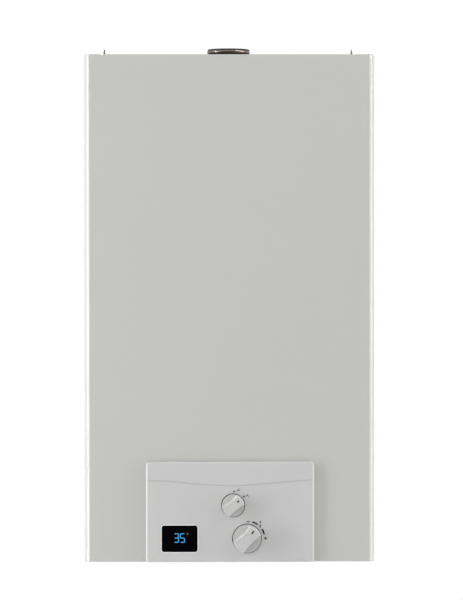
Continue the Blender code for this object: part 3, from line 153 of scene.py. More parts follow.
def combine(piece, tool, operation):
    addModifier(piece, "BOOLEAN", object=tool, operation=operation, solver="EXACT")
    throwAway(tool)
    return piece


def carve(piece, tool):
    return combine(piece, tool, "DIFFERENCE")


def weld(piece, tool):
    return combine(piece, tool, "UNION")


def softenEdges(piece, width, steps, degrees):
    return addModifier(
        piece, "BEVEL", width=width, segments=steps, limit_method="ANGLE",
        angle_limit=math.radians(degrees), use_clamp_overlap=True, miter_outer="MITER_ARC",
    )


def smoothOver(piece, degrees):
    takeUp(piece)
    bpy.ops.object.shade_smooth_by_angle(angle=math.radians(degrees))
    return piece


def evenShading(piece, degrees=35):  # wide flat faces stay flat beside rounded edges
    smoothOver(piece, degrees)
    return addModifier(piece, "WEIGHTED_NORMAL", weight=100, keep_sharp=True)


def tidyMesh(piece):
    openWhole(piece)
    bpy.ops.mesh.remove_doubles(threshold=hair / 10)
    bpy.ops.mesh.normals_make_consistent(inside=False)
    leaveMesh()
    return piece


def flattenAgainst(piece, y, share):  # its depth from the plane at y is cut to this share
    openWhole(piece)
    bpy.ops.transform.resize(value=(1, share, 1), center_override=(0, y, 0))
    leaveMesh()


def copyPiece(piece, name, place=(0, 0, 0), turn=0):
    takeUp(piece)
    bpy.ops.object.duplicate(linked=False)
    made = bpy.context.object
    made.name = name
    made.rotation_euler = (0, 0, turn)
    made.location = place
    return settle(made)


def joinPieces(name, pieces):
    joined = takeUp(*pieces)
    bpy.ops.object.join()
    joined.name = name
    return joined


def turnUp(name, profile, sides, place=(0, 0, 0), axis="Z", ring=False):  # profile: radius and height
    clearSelection()
    radius, height = profile[0]
    fill = "NOTHING" if ring else "TRIFAN"
    bpy.ops.mesh.primitive_circle_add(vertices=sides, radius=radius, location=(0, 0, height), fill_type=fill)
    piece = bpy.context.object
    piece.name = name
    settle(piece)
    pickEdges(piece, lambda a, b: min(a.xy.length, b.xy.length) > radius / 2)
    for newRadius, newHeight in profile[1:]:
        bpy.ops.mesh.extrude_edges_move(TRANSFORM_OT_translate={"value": (0, 0, newHeight - height)})
        share = newRadius / radius
        bpy.ops.transform.resize(value=(share, share, 1), center_override=(0, 0, newHeight))
        radius, height = newRadius, newHeight
    if ring:  # the last circle is joined to the first one
        openMesh(piece, "EDGE")
        bpy.ops.mesh.select_non_manifold()
        bpy.ops.mesh.bridge_edge_loops()
    else:
        bpy.ops.mesh.extrude_edges_move(TRANSFORM_OT_translate={"value": (0, 0, 0)})
        bpy.ops.mesh.merge(type="CENTER")
    bpy.ops.mesh.select_all(action="SELECT")
    bpy.ops.mesh.normals_make_consistent(inside=False)
    leaveMesh()
    piece.rotation_euler = layAlong[axis]
    piece.location = place
    return settle(piece)


def arcPoints(centre, radius, start, end, steps):
    angles = [math.radians(start + (end - start) * step / steps) for step in range(steps + 1)]
    return [(centre[0] + radius * math.cos(a), centre[1] + radius * math.sin(a)) for a in angles]


def drawStroke(name, points, radius, resolution=3, closed=False):  # a round bar along the points
    clearSelection()
    bpy.ops.curve.primitive_bezier_curve_add(location=(0, 0, 0))
    curve = bpy.context.object
    curve.name = name
    curve.data.splines.clear()
    spline = curve.data.splines.new("POLY")
    spline.points.add(len(points) - 1)
    for slot, point in zip(spline.points, points):
        slot.co = (*point, 1)
    spline.use_cyclic_u = closed
    curve.data.dimensions = "3D"
    curve.data.bevel_depth = radius
    curve.data.bevel_resolution = resolution
    curve.data.use_fill_caps = True
    bpy.ops.object.convert(target="MESH")
    return settle(bpy.context.object)


def middleOf(node):
    low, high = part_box(node)
    return (low + high) / 2


def dress(piece, finish, body="casing", stoodFor=()):
    piece.data.materials.clear()
    piece.data.materials.append(finishes[finish])
    piece.data.name = piece.name
    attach(piece, body)
    if stoodFor:
        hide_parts(*stoodFor)
    return piece


# Effects that several finishes share
def addNode(tree, kind, at, values=None, **settings):
    node = tree.nodes.new(kind)
    node.location = at
    for setting, value in settings.items():
        setattr(node, setting, value)
    for label, value in (values or {}).items():
        node.inputs[label].default_value = value
    return node


def addMultiply(tree, at):  # one colour times another
    values = {"Factor": 1.0}
    return addNode(tree, "ShaderNodeMix", at, values, data_type="RGBA", blend_type="MULTIPLY")


def wire(tree, *wires):  # each wire: a node and its output, then a node and its input
    for source, output, target, socket in wires:
        tree.links.new(source.outputs[output], target.inputs[socket])


def newEffect(name, inputs, outputs):  # inputs: label, kind and first value; outputs: label and kind
    group = bpy.data.node_groups.new(name, "ShaderNodeTree")
    for label, kind, value in inputs:
        socket = group.interface.new_socket(label, in_out="INPUT", socket_type="NodeSocket" + kind)
        socket.default_value = value
    for label, kind in outputs:
        group.interface.new_socket(label, in_out="OUTPUT", socket_type="NodeSocket" + kind)
    return group, addNode(group, "NodeGroupInput", (-1000, 0)), addNode(group, "NodeGroupOutput", (600, 0))


def makePatchyValue():  # a value that drifts slowly between Low and High
    inputs = [("Scale", "Float", 10.0), ("Low", "Float", 0.0), ("High", "Float", 1.0)]
    group, start, end = newEffect("patchyValue", inputs, [("Value", "Float")])
    place = addNode(group, "ShaderNodeTexCoord", (-800, -200))
    noise = addNode(group, "ShaderNodeTexNoise", (-500, 0), {"Detail": 3.0, "Roughness": 0.55})
    spread = addNode(group, "ShaderNodeMapRange", (-100, 0), {"From Min": 0.3, "From Max": 0.7})
    wire(
        group,
        (place, "Object", noise, "Vector"), (start, "Scale", noise, "Scale"), (noise, "Fac", spread, "Value"),
        (start, "Low", spread, "To Min"), (start, "High", spread, "To Max"), (spread, "Result", end, "Value"),
    )
    return group


def makeShadedColour():  # a colour that is a little lighter and darker in places
    inputs = [("Colour", "Color", (0.5, 0.5, 0.5, 1)), ("Scale", "Float", 10.0), ("Amount", "Float", 0.03)]
    group, start, end = newEffect("shadedColour", inputs, [("Colour", "Color")])
    low = addNode(group, "ShaderNodeMath", (-500, -100), {0: 1.0}, operation="SUBTRACT")
    high = addNode(group, "ShaderNodeMath", (-500, -300), {0: 1.0}, operation="ADD")
    patches = addNode(group, "ShaderNodeGroup", (-200, -150), node_tree=effects["patchyValue"])
    shade = addMultiply(group, (200, 0))
    wire(
        group,
        (start, "Amount", low, 1), (start, "Amount", high, 1), (start, "Scale", patches, "Scale"),
        (low, 0, patches, "Low"), (high, 0, patches, "High"),
        (start, "Colour", shade, 6), (patches, "Value", shade, 7), (shade, 2, end, "Colour"),
    )
    return group


def makeFineGrain():  # the small unevenness of paint, moulded plastic or a casting
    inputs = [("Scale", "Float", 1000.0), ("Coarse", "Float", 0.3)]
    group, start, end = newEffect("fineGrain", inputs, [("Height", "Float")])
    place = addNode(group, "ShaderNodeTexCoord", (-800, -200))
    fine = addNode(group, "ShaderNodeTexNoise", (-400, 100), {"Detail": 2.0, "Roughness": 0.5})
    wide = addNode(group, "ShaderNodeMath", (-600, -100), {1: 0.2}, operation="MULTIPLY")
    coarse = addNode(group, "ShaderNodeTexNoise", (-400, -200), {"Detail": 1.0})
    blend = addNode(group, "ShaderNodeMix", (100, 0), data_type="FLOAT")
    wire(
        group,
        (place, "Object", fine, "Vector"), (place, "Object", coarse, "Vector"),
        (start, "Scale", fine, "Scale"), (start, "Scale", wide, 0), (wide, 0, coarse, "Scale"),
        (start, "Coarse", blend, 0), (fine, "Fac", blend, 2), (coarse, "Fac", blend, 3),
        (blend, 0, end, "Height"),
    )
    return group


def makeBrushLines():  # long fine lines left by rolling, drawing or polishing
    inputs = [("Stretch", "Vector", (1, 1, 1)), ("Scale", "Float", 100.0)]
    group, start, end = newEffect("brushLines", inputs, [("Height", "Float"), ("Mask", "Float")])
    place = addNode(group, "ShaderNodeTexCoord", (-900, -200))
    stretch = addNode(group, "ShaderNodeVectorMath", (-700, 0), operation="MULTIPLY")
    noise = addNode(group, "ShaderNodeTexNoise", (-400, 0), {"Detail": 4.0, "Roughness": 0.7})
    sharpen = addNode(group, "ShaderNodeMapRange", (0, -200), {"From Min": 0.35, "From Max": 0.65})
    wire(
        group,
        (place, "Object", stretch, 0), (start, "Stretch", stretch, 1), (stretch, "Vector", noise, "Vector"),
        (start, "Scale", noise, "Scale"), (noise, "Fac", end, "Height"),
        (noise, "Fac", sharpen, "Value"), (sharpen, "Result", end, "Mask"),
    )
    return group


def makeCrystalPatches():  # the angular patches of a zinc coat or a rough casting
    inputs = [("Scale", "Float", 80.0), ("Low", "Float", 0.0), ("High", "Float", 1.0)]
    group, start, end = newEffect("crystalPatches", inputs, [("Value", "Float")])
    place = addNode(group, "ShaderNodeTexCoord", (-800, -200))
    cells = addNode(group, "ShaderNodeTexVoronoi", (-500, 0))
    split = addNode(group, "ShaderNodeSeparateColor", (-250, 0))
    spread = addNode(group, "ShaderNodeMapRange", (0, 0))
    wire(
        group,
        (place, "Object", cells, "Vector"), (start, "Scale", cells, "Scale"), (cells, "Color", split, 0),
        (split, 0, spread, "Value"), (start, "Low", spread, "To Min"), (start, "High", spread, "To Max"),
        (spread, "Result", end, "Value"),
    )
    return group


effects = {}
for makeEffect in (makePatchyValue, makeShadedColour, makeFineGrain, makeBrushLines, makeCrystalPatches):
    effect = makeEffect()
    effects[effect.name] = effect
print("the shared effects are built")


# Finishes
def newFinish(name, look):
    material = bpy.data.materials.new(name)
    material.use_nodes = True
    material.diffuse_color = (*look["colour"], 1)
    shader = material.node_tree.nodes["Principled BSDF"]
    shader.inputs["Base Color"].default_value = (*look["colour"], 1)
    shader.inputs["Roughness"].default_value = look["roughness"][0]
    shader.inputs["Metallic"].default_value = look.get("metallic", 0)
    shader.inputs["Specular IOR Level"].default_value = look.get("specular", 0.5)
    return material, shader


def addEffect(tree, name, at, values):
    return addNode(tree, "ShaderNodeGroup", at, values, node_tree=effects[name])


def roughnessRange(look):
    level, drift = look["roughness"]
    return level - drift, level + drift


def shadeColour(tree, shader, look):
    scale, amount = look["drift"]
    values = {"Colour": (*look["colour"], 1), "Scale": scale, "Amount": amount}
    shade = addEffect(tree, "shadedColour", (-500, 200), values)
    wire(tree, (shade, "Colour", shader, "Base Color"))


def varyRoughness(tree, shader, look):
    low, high = roughnessRange(look)
    values = {"Scale": look["drift"][0], "Low": low, "High": high}
    patches = addEffect(tree, "patchyValue", (-500, 0), values)
    wire(tree, (patches, "Value", shader, "Roughness"))


def raiseGrain(tree, shader, look):
    scale, strength, depth = look["grain"]
    values = {"Scale": scale, "Coarse": look.get("coarse", 0.3)}
    grain = addEffect(tree, "fineGrain", (-700, -300), values)
    bump = addNode(tree, "ShaderNodeBump", (-300, -300), {"Strength": strength, "Distance": depth})
    wire(tree, (grain, "Height", bump, "Height"), (bump, "Normal", shader, "Normal"))


def brushSurface(tree, shader, look):
    scale, strength, depth = look["brush"]
    lines = addEffect(tree, "brushLines", (-900, -300), {"Stretch": look["stretch"], "Scale": scale})
    bump = addNode(tree, "ShaderNodeBump", (-300, -300), {"Strength": strength, "Distance": depth})
    low, high = roughnessRange(look)
    spread = addNode(tree, "ShaderNodeMapRange", (-500, -50), {"To Min": low, "To Max": high})
    wire(
        tree,
        (lines, "Height", bump, "Height"), (bump, "Normal", shader, "Normal"),
        (lines, "Mask", spread, "Value"), (spread, "Result", shader, "Roughness"),
    )


def crystalSurface(tree, shader, look):
    scale, amount = look["patch"]
    values = {"Scale": scale, "Low": 1 - amount, "High": 1 + amount}
    patches = addEffect(tree, "crystalPatches", (-800, 200), values)
    tint = addMultiply(tree, (-400, 200))
    tint.inputs[6].default_value = (*look["colour"], 1)
    low, high = roughnessRange(look)
    dull = addEffect(tree, "crystalPatches", (-800, -50), {"Scale": scale, "Low": low, "High": high})
    wire(
        tree,
        (patches, "Value", tint, 7), (tint, 2, shader, "Base Color"), (dull, "Value", shader, "Roughness"),
    )


def lightUp(tree, shader, look):
    shader.inputs["Emission Color"].default_value = (*look["glow"], 1)
    shader.inputs["Emission Strength"].default_value = 1.0


finishSteps = {  # what each kind of finish is built up from
    "painted": (shadeColour, varyRoughness, raiseGrain),
    "brushed": (shadeColour, brushSurface),
    "crystal": (crystalSurface, raiseGrain),
    "glowing": (lightUp, shadeColour),
}
# roughness: level and drift; drift and patch: scale and amount; grain and brush: scale, strength and depth
finishLooks = {
    "coverPaint": {
        "kind": "painted", "colour": (0.537, 0.538, 0.503), "roughness": (0.24, 0.01), "drift": (3.0, 0.004),
        "grain": (420.0, 0.15, 0.00006), "coarse": 0.08,
    },
    "panelPlastic": {
        "kind": "painted", "colour": (0.55, 0.55, 0.54), "roughness": (0.42, 0.03), "drift": (9.0, 0.008),
        "grain": (2600.0, 0.25, 0.00004),
    },
    "knobPlastic": {
        "kind": "painted", "colour": (0.54, 0.54, 0.528), "roughness": (0.26, 0.03), "drift": (30.0, 0.008),
        "grain": (3000.0, 0.15, 0.00003),
    },
    # the bezel's pale colour paints the highlight that the window's bevelled edge catches
    "bezelHighlightPlastic": {
        "kind": "painted", "colour": (0.80, 0.80, 0.79), "roughness": (0.35, 0.03), "drift": (30.0, 0.008),
        "grain": (3000.0, 0.15, 0.00003),
    },
    "lensGloss": {
        "kind": "painted", "colour": (0.002, 0.0015, 0.002), "roughness": (0.12, 0.02), "drift": (20.0, 0.2),
        "grain": (500.0, 0.02, 0.00002), "specular": 0.05,
    },
    "digitGlow": {
        "kind": "glowing", "colour": (0.02, 0.08, 0.16), "roughness": (0.4, 0), "drift": (150.0, 0.25),
        "glow": (0.055, 0.32, 0.68),
    },
    "degreeGlow": {
        "kind": "glowing", "colour": (0.03, 0.04, 0.05), "roughness": (0.4, 0), "drift": (150.0, 0.25),
        "glow": (0.06, 0.08, 0.11),
    },
    "printBlack": {
        "kind": "painted", "colour": (0.005, 0.005, 0.005), "roughness": (0.5, 0.05), "drift": (400.0, 0.2),
        "grain": (4000.0, 0.2, 0.00002), "specular": 0.1,
    },
    "printGrey": {
        "kind": "painted", "colour": (0.075, 0.075, 0.08), "roughness": (0.5, 0.05), "drift": (400.0, 0.15),
        "grain": (4000.0, 0.2, 0.00002), "specular": 0.1,
    },
    "flueSteel": {
        "kind": "brushed", "colour": (0.22, 0.19, 0.165), "roughness": (0.30, 0.08), "drift": (30.0, 0.2),
        "metallic": 1.0, "stretch": (1, 1, 14), "brush": (40.0, 0.3, 0.0001),
    },
    "plated": {
        "kind": "brushed", "colour": (0.82, 0.81, 0.79), "roughness": (0.06, 0.02), "drift": (200.0, 0.05),
        "metallic": 1.0, "stretch": (1, 1, 8), "brush": (300.0, 0.06, 0.00002),
    },
    "zinc": {
        "kind": "crystal", "colour": (0.52, 0.53, 0.545), "roughness": (0.38, 0.06), "patch": (90.0, 0.07),
        "metallic": 0.9, "grain": (900.0, 0.2, 0.00005),
    },
    "brass": {
        "kind": "brushed", "colour": (0.60, 0.44, 0.20), "roughness": (0.28, 0.06), "drift": (60.0, 0.08),
        "metallic": 1.0, "stretch": (1, 1, 10), "brush": (160.0, 0.2, 0.00004),
    },
    "copper": {
        "kind": "brushed", "colour": (0.62, 0.30, 0.18), "roughness": (0.33, 0.08), "drift": (35.0, 0.22),
        "metallic": 1.0, "stretch": (3, 3, 1), "brush": (120.0, 0.15, 0.00004),
    },
    "castAluminium": {
        "kind": "crystal", "colour": (0.50, 0.505, 0.51), "roughness": (0.5, 0.08), "patch": (500.0, 0.05),
        "metallic": 0.85, "grain": (1600.0, 0.5, 0.0001),
    },
    "steel": {
        "kind": "brushed", "colour": (0.45, 0.44, 0.43), "roughness": (0.36, 0.08), "drift": (40.0, 0.15),
        "metallic": 1.0, "stretch": (1, 6, 6), "brush": (80.0, 0.15, 0.00004),
    },
    "blackPlastic": {
        "kind": "painted", "colour": (0.022, 0.022, 0.023), "roughness": (0.5, 0.05), "drift": (40.0, 0.12),
        "grain": (2200.0, 0.4, 0.00005),
    },
    "greyPlastic": {
        "kind": "painted", "colour": (0.11, 0.112, 0.115), "roughness": (0.5, 0.05), "drift": (40.0, 0.08),
        "grain": (2200.0, 0.4, 0.00005),
    },
    "whitePlastic": {
        "kind": "painted", "colour": (0.62, 0.62, 0.60), "roughness": (0.45, 0.05), "drift": (60.0, 0.03),
        "grain": (2600.0, 0.25, 0.00004),
    },
    "rubber": {
        "kind": "painted", "colour": (0.025, 0.025, 0.026), "roughness": (0.75, 0.08), "drift": (80.0, 0.2),
        "grain": (1200.0, 0.5, 0.00008),
    },
    "silicone": {
        "kind": "painted", "colour": (0.42, 0.055, 0.035), "roughness": (0.48, 0.06), "drift": (60.0, 0.08),
        "grain": (900.0, 0.3, 0.00004),
    },
    "ceramic": {
        "kind": "painted", "colour": (0.70, 0.68, 0.62), "roughness": (0.4, 0.08), "drift": (120.0, 0.05),
        "grain": (1800.0, 0.4, 0.00005),
    },
    "board": {
        "kind": "painted", "colour": (0.018, 0.12, 0.05), "roughness": (0.35, 0.08), "drift": (150.0, 0.25),
        "grain": (1500.0, 0.3, 0.00005),
    },
}
finishes = {}
for name, look in finishLooks.items():
    finishes[name], shader = newFinish(name, look)
    for addStep in finishSteps[look["kind"]]:
        addStep(finishes[name].node_tree, shader, look)
print("the finishes are built")

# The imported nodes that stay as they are, by finish
nodeFinishes = {
    "coverPaint": ["top_plate"],
    "zinc": [
        "rear_panel", "wall_bracket", "bottom_plate", "fan_housing", "flue_hood", "chamber_bracket_left",
        "chamber_bracket_right", "burner_tray",
    ],
    "plated": [
        "cover_stud_left", "cover_stud_right", "temperature_dial", "fan_shaft", "overheat_thermostat",
        "valve_plunger",
    ],
    "steel": ["burner_comb"],
    "copper": [
        "chamber_shell", "fin_block", "return_bend_left", "return_bend_right", "chamber_coil", "cold_pipe",
        "hot_pipe", "gas_pipe",
    ],
    "brass": ["gas_manifold", "temperature_probe"],
    "castAluminium": ["gas_valve", "fan_wheel"],
    "blackPlastic": ["display_module", "mode_switch", "fan_motor", "solenoid_coil", "igniter", "flow_sensor"],
    "greyPlastic": ["control_box", "pressure_switch"],
    "whitePlastic": ["mode_shaft", "temperature_shaft", "flow_rotor", "inlet_filter"],
    "rubber": ["collar_gasket"],
    "silicone": ["pressure_tube", "ignition_lead"],
    "ceramic": ["ignition_electrode", "flame_electrode"],
    "board": ["control_board"],
}
for finish, names in nodeFinishes.items():
    for name in names:
        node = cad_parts[name]
        node.data.materials.clear()
        node.data.materials.append(finishes[finish])
print("the packed nodes have their finishes")

# The cover: one folded sheet round the front and both sides
coverLook = {
    "sheet": 0.001, "edgeRadius": 0.007, "edgeSteps": 14, "edgeShape": 0.38, "foldRadius": 0.0014,
    "foldSteps": 4, "topRim": 0.034, "bottomRim": 0.022, "panelRim": 0.008, "studHole": 0.0026,
    "screwHole": 0.0023, "holeSides": 24,
}
coverLow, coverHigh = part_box("front_cover")
panelLow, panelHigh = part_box("control_panel")


def makeCoverShell():
    look = coverLook
    shell = addBlock("coverShell", coverLow, coverHigh)
    pickFaces(shell, lambda normal: normal.y > 0.9)
    bpy.ops.mesh.delete(type="FACE")
    front = coverLow.y + look["sheet"]
    pickEdges(shell, lambda a, b: max(a.y, b.y) < front and abs(a.z - b.z) > look["edgeRadius"])
    bevelPicked(look["edgeRadius"], look["edgeSteps"], look["edgeShape"])

    def alongAnEnd(a, b):
        level = any(max(abs(a.z - z), abs(b.z - z)) < hair for z in (coverLow.z, coverHigh.z))
        return level and min(a.y, b.y) < coverHigh.y - hair

    pickEdges(shell, alongAnEnd)
    bevelPicked(look["foldRadius"], look["foldSteps"])
    addModifier(shell, "SOLIDIFY", thickness=look["sheet"], offset=-1, use_even_offset=True)
    past = 0.01  # how far the openings are cut past the sheet's edge
    reach = 0.003  # how far a cutter stands out on each side of the sheet
    for z, rim in ((coverHigh.z, look["topRim"]), (coverLow.z, look["bottomRim"])):
        low = (coverLow.x + rim, coverLow.y + rim, z - reach)
        high = (coverHigh.x - rim, coverHigh.y + past, z + reach)
        carve(shell, addBlock("opening", low, high))
    rim = look["panelRim"]
    low = (panelLow.x + rim, coverLow.y - past, panelLow.z + rim)
    high = (panelHigh.x - rim, coverLow.y + past, panelHigh.z - rim)
    carve(shell, addBlock("opening", low, high))
    for kind, z in (("stud", coverHigh.z), ("screw", coverLow.z)):
        for side in ("left", "right"):
            place = middleOf(f"cover_{kind}_{side}")
            place.z = z
            carve(shell, addRod("hole", place, look[f"{kind}Hole"], 2 * reach, look["holeSides"]))
    evenShading(shell)
    return dress(shell, "coverPaint", stoodFor=["front_cover"])


makeCoverShell()
print("the cover is made")

# The control panel, with its border, groove, window and knob recesses
panelLook = {
    "corner": 0.0040, "cornerSteps": 10, "border": 0.0028, "borderSteps": 8, "wall": 0.003,
    "faceWall": 0.0023, "grooveEnd": 0.0985, "grooveDrop": 0.0065, "grooveRadius": 0.0008,
    "grooveDepth": 0.00075, "grooveSteps": 60,
    "windowLeft": 0.0012, "windowDown": 0.0005, "windowRight": 0.0001, "windowUp": 0.0010,
    "windowGap": 0.0015, "windowCorner": 0.0040, "windowSteps": 8, "knobGap": 0.0008, "knobDepth": 0.012,
    "knobSides": 96, "openingEdge": 0.0003, "openingSteps": 3,
}
knobs = {  # gripEnd and gripWaist: half widths; turn: the grip's; pointer: from and to, out from the axis
    "mode": {
        "x": 0.0041, "z": -0.4794, "radius": 0.0135, "height": 0.011, "gripEnd": 0.0064, "gripWaist": 0.0048,
        "turn": 37.0, "pointer": (0.0064, 0.0095), "pointerTurn": 5,
    },
    "temperature": {
        "x": 0.0208, "z": -0.5195, "radius": 0.0170, "height": 0.013, "gripEnd": 0.0078, "gripWaist": 0.0058,
        "turn": 44.5, "pointer": (0.0086, 0.0132), "pointerTurn": 7,
    },
}
panelFace = panelLow.y
windowLow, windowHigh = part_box("display_window")
windowLow -= Vector((panelLook["windowLeft"], 0, panelLook["windowDown"]))
windowHigh += Vector((panelLook["windowRight"], 0, panelLook["windowUp"]))


def grooveLine(x):  # how high the groove runs, lowest in the middle
    share = (min(max(x, panelLow.x), panelHigh.x) - panelLow.x) / (panelHigh.x - panelLow.x)
    drop = panelLook["grooveDrop"] * (1 - math.cos(2 * math.pi * share)) / 2
    return coverLow.z + panelLook["grooveEnd"] - drop


def makePanelMoulding():
    look = panelLook
    panel = addBlock("panelMoulding", panelLow, panelHigh)
    roundCorners(panel, look["corner"], look["cornerSteps"])
    roundRim(panel, panelFace, look["border"], look["borderSteps"])
    past = 0.002
    wall = look["wall"]
    low = (panelLow.x + wall, panelFace + look["faceWall"], panelLow.z + wall)
    high = (panelHigh.x - wall, panelHigh.y + past, panelHigh.z - wall)
    carve(panel, addBlock("hollow", low, high))
    gap = look["windowGap"]
    low = (windowLow.x - gap, panelFace - past, windowLow.z - gap)
    high = (windowHigh.x + gap, panelHigh.y, windowHigh.z + gap)
    window = addBlock("window", low, high)
    roundCorners(window, look["windowCorner"], look["windowSteps"])
    carve(panel, window)
    for knob in knobs.values():
        centre = (knob["x"], panelFace, knob["z"])
        radius = knob["radius"] + look["knobGap"]
        carve(panel, addRod("hole", centre, radius, look["knobDepth"], look["knobSides"], "Y"))
    reach = 0.003  # the groove's cutter runs out past both sides
    points = []
    for step in range(look["grooveSteps"] + 1):
        x = panelLow.x - reach + (panelHigh.x - panelLow.x + 2 * reach) * step / look["grooveSteps"]
        points.append((x, panelFace - look["grooveRadius"] + look["grooveDepth"], grooveLine(x)))
    carve(panel, drawStroke("groove", points, look["grooveRadius"]))

    def onFace(point):
        return abs(point.y - panelFace) < hair / 5

    def atWindow(point):
        reach = gap + 2 * hair
        between = windowLow.x - reach < point.x < windowHigh.x + reach
        return onFace(point) and between and windowLow.z - reach < point.z < windowHigh.z + reach

    def atKnob(point, knob):
        reach = (point - Vector((knob["x"], panelFace, knob["z"]))).length
        return onFace(point) and abs(reach - knob["radius"] - look["knobGap"]) < 2 * hair

    pickEdges(panel, lambda a, b: atWindow(a) and atWindow(b))
    bevelPicked(look["openingEdge"], look["openingSteps"])
    pickEdges(panel, lambda a, b: any(atKnob(a, knob) and atKnob(b, knob) for knob in knobs.values()))
    bevelPicked(look["openingEdge"], look["openingSteps"])
    evenShading(panel)
    return dress(panel, "panelPlastic", stoodFor=["control_panel"])


makePanelMoulding()
print("the control panel is made")

# The knobs: round caps with a wide scoop on each side, which leaves a waisted grip across them
knobLook = {
    "sides": 128, "foot": 0.0012, "topEdge": 0.0012, "topSteps": 6, "floor": 0.0032, "floorSlope": -4.0,
    "wallLean": 0.0015, "fillet": 0.0007, "filletSteps": 5, "scoopSides": 256, "scoopRise": 0.004,
    "edge": 0.0005, "edgeSteps": 3,
    "boreRadius": 0.0034, "boreCap": 0.003, "boreDepth": 0.02, "boreSides": 32, "pointerWidth": 0.00088,
    "pointerThick": 0.08,
}


def makeKnob(kind):
    look = knobLook
    knob = knobs[kind]
    radius = knob["radius"]
    height = knob["height"]
    place = (knob["x"], panelFace, knob["z"])
    edge = look["topEdge"]
    profile = [(radius, -look["foot"])]
    profile += arcPoints((radius - edge, height - edge), edge, 0, 90, look["topSteps"])
    cap = turnUp(f"{kind}Knob", profile, look["sides"], place, "Y")
    span = math.sqrt(radius**2 - knob["gripEnd"] ** 2)
    rise = knob["gripEnd"] - knob["gripWaist"]
    sweep = (span**2 + rise**2) / (2 * rise)  # radius of the scoop, so that the grip widens from waist to end
    wallFoot = sweep - look["wallLean"]
    fillet = look["fillet"]
    slope = look["floorSlope"]
    outside = sweep - (radius - knob["gripWaist"]) - overlap  # the scoop's floor starts outside the cap
    floor = look["floor"] + math.tan(math.radians(slope)) * (wallFoot - fillet - outside)
    scoop = [(outside, look["floor"])]
    scoop += arcPoints((wallFoot - fillet, floor + fillet), fillet, -90 + slope, 0, look["filletSteps"])
    scoop += [(sweep, height), (sweep + look["wallLean"] / 2, height + look["scoopRise"])]
    turn = math.radians(knob["turn"])
    for side in (-1, 1):
        reach = side * (knob["gripWaist"] + sweep)
        centre = (place[0] - math.sin(turn) * reach, panelFace, place[2] + math.cos(turn) * reach)
        carve(cap, turnUp("scoop", scoop, look["scoopSides"], centre, "Y"))
    boreMiddle = panelFace - height + look["boreCap"] + look["boreDepth"] / 2
    centre = (place[0], boreMiddle, place[2])
    carve(cap, addRod("bore", centre, look["boreRadius"], look["boreDepth"], look["boreSides"], "Y"))
    softenEdges(cap, look["edge"], look["edgeSteps"], 30)
    evenShading(cap, 40)
    return dress(cap, "knobPlastic", f"{kind}_control", [f"{kind}_knob"])


def makePointer(kind):
    knob = knobs[kind]
    turn = math.radians(knob["turn"] + knob["pointerTurn"])
    top = panelFace - knob["height"]
    points = []
    for reach in knob["pointer"]:
        points.append((knob["x"] + math.cos(turn) * reach, top, knob["z"] + math.sin(turn) * reach))
    stroke = drawStroke(f"{kind}Pointer", points, knobLook["pointerWidth"])
    flattenAgainst(stroke, top, knobLook["pointerThick"])
    return dress(stroke, "printBlack", f"{kind}_control")


for kind in knobs:
    makeKnob(kind)
for kind in knobs:
    makePointer(kind)
print("the knobs are made")

# Marks printed on the panel, placed to the right and up from a knob's axis, or by reach and degrees round it
markLook = {
    "thick": 0.04, "dot": 0.00105, "dotTop": 0.9, "dotSides": 24, "dash": 0.00100, "dashSteps": 8,
    "sign": 0.00074, "fine": 0.00036, "bulb": 0.0011, "stemShare": 1.2, "dropShare": 1.3,
    "modeDots": [(0.01690, 86.2), (0.01690, 38.5)],  # reach and degrees
    "modeTaps": [(0.0065, 0.0178, -1), (0.0172, 0.0112, 1)],  # right, up, and the way the tap looks
    "scaleArcs": [(0.0211, 71.5, 52.0), (0.0214, 32.0, 13.5)],  # reach, and degrees from and to
    "bulbAt": (0.01625, 0.01975), "stem": [(0.0161, 0.0168), (0.0158, 0.0132)],  # the thermometer
    "minus": [(-0.0004, 0.0203), (0.0033, 0.0202)], "plusAt": (0.0224, 0.0002), "plusReach": 0.0017,
}
tapLook = {  # right and up from the tap's middle: body with spout, stem, handle, inlet, and a drop
    "size": 1.25, "drop": (0.0014, -0.0016),
    "strokes": [
        [(-0.0010, 0.0002), (0.0008, 0.0002), (0.0014, -0.0003), (0.0014, -0.0008)],
        [(-0.0002, 0.0002), (-0.0002, 0.0012)],
        [(-0.0009, 0.0013), (0.0005, 0.0013)],
        [(-0.0011, 0.0007), (-0.0011, -0.0004)],
    ],
}


def onPanel(knob, right, up):
    return (knob["x"] + right, panelFace, knob["z"] + up)


def aroundKnob(knob, reach, degrees):
    return onPanel(knob, reach * math.cos(math.radians(degrees)), reach * math.sin(math.radians(degrees)))


def printStroke(points, radius):
    stroke = drawStroke("mark", points, radius)
    flattenAgainst(stroke, panelFace, markLook["thick"])
    return stroke


def printDot(place, radius):
    rise = radius * markLook["thick"]
    profile = [(radius, -rise), (radius, rise / 2), (radius * markLook["dotTop"], rise)]
    return turnUp("mark", profile, markLook["dotSides"], place, "Y")


def printTap(knob, right, up, way):
    fine = markLook["fine"]
    size = tapLook["size"]

    def at(across, above):
        return onPanel(knob, right + across * way * size, up + above * size)

    marks = [printStroke([at(*point) for point in stroke], fine) for stroke in tapLook["strokes"]]
    return marks + [printDot(at(*tapLook["drop"]), fine * markLook["dropShare"])]


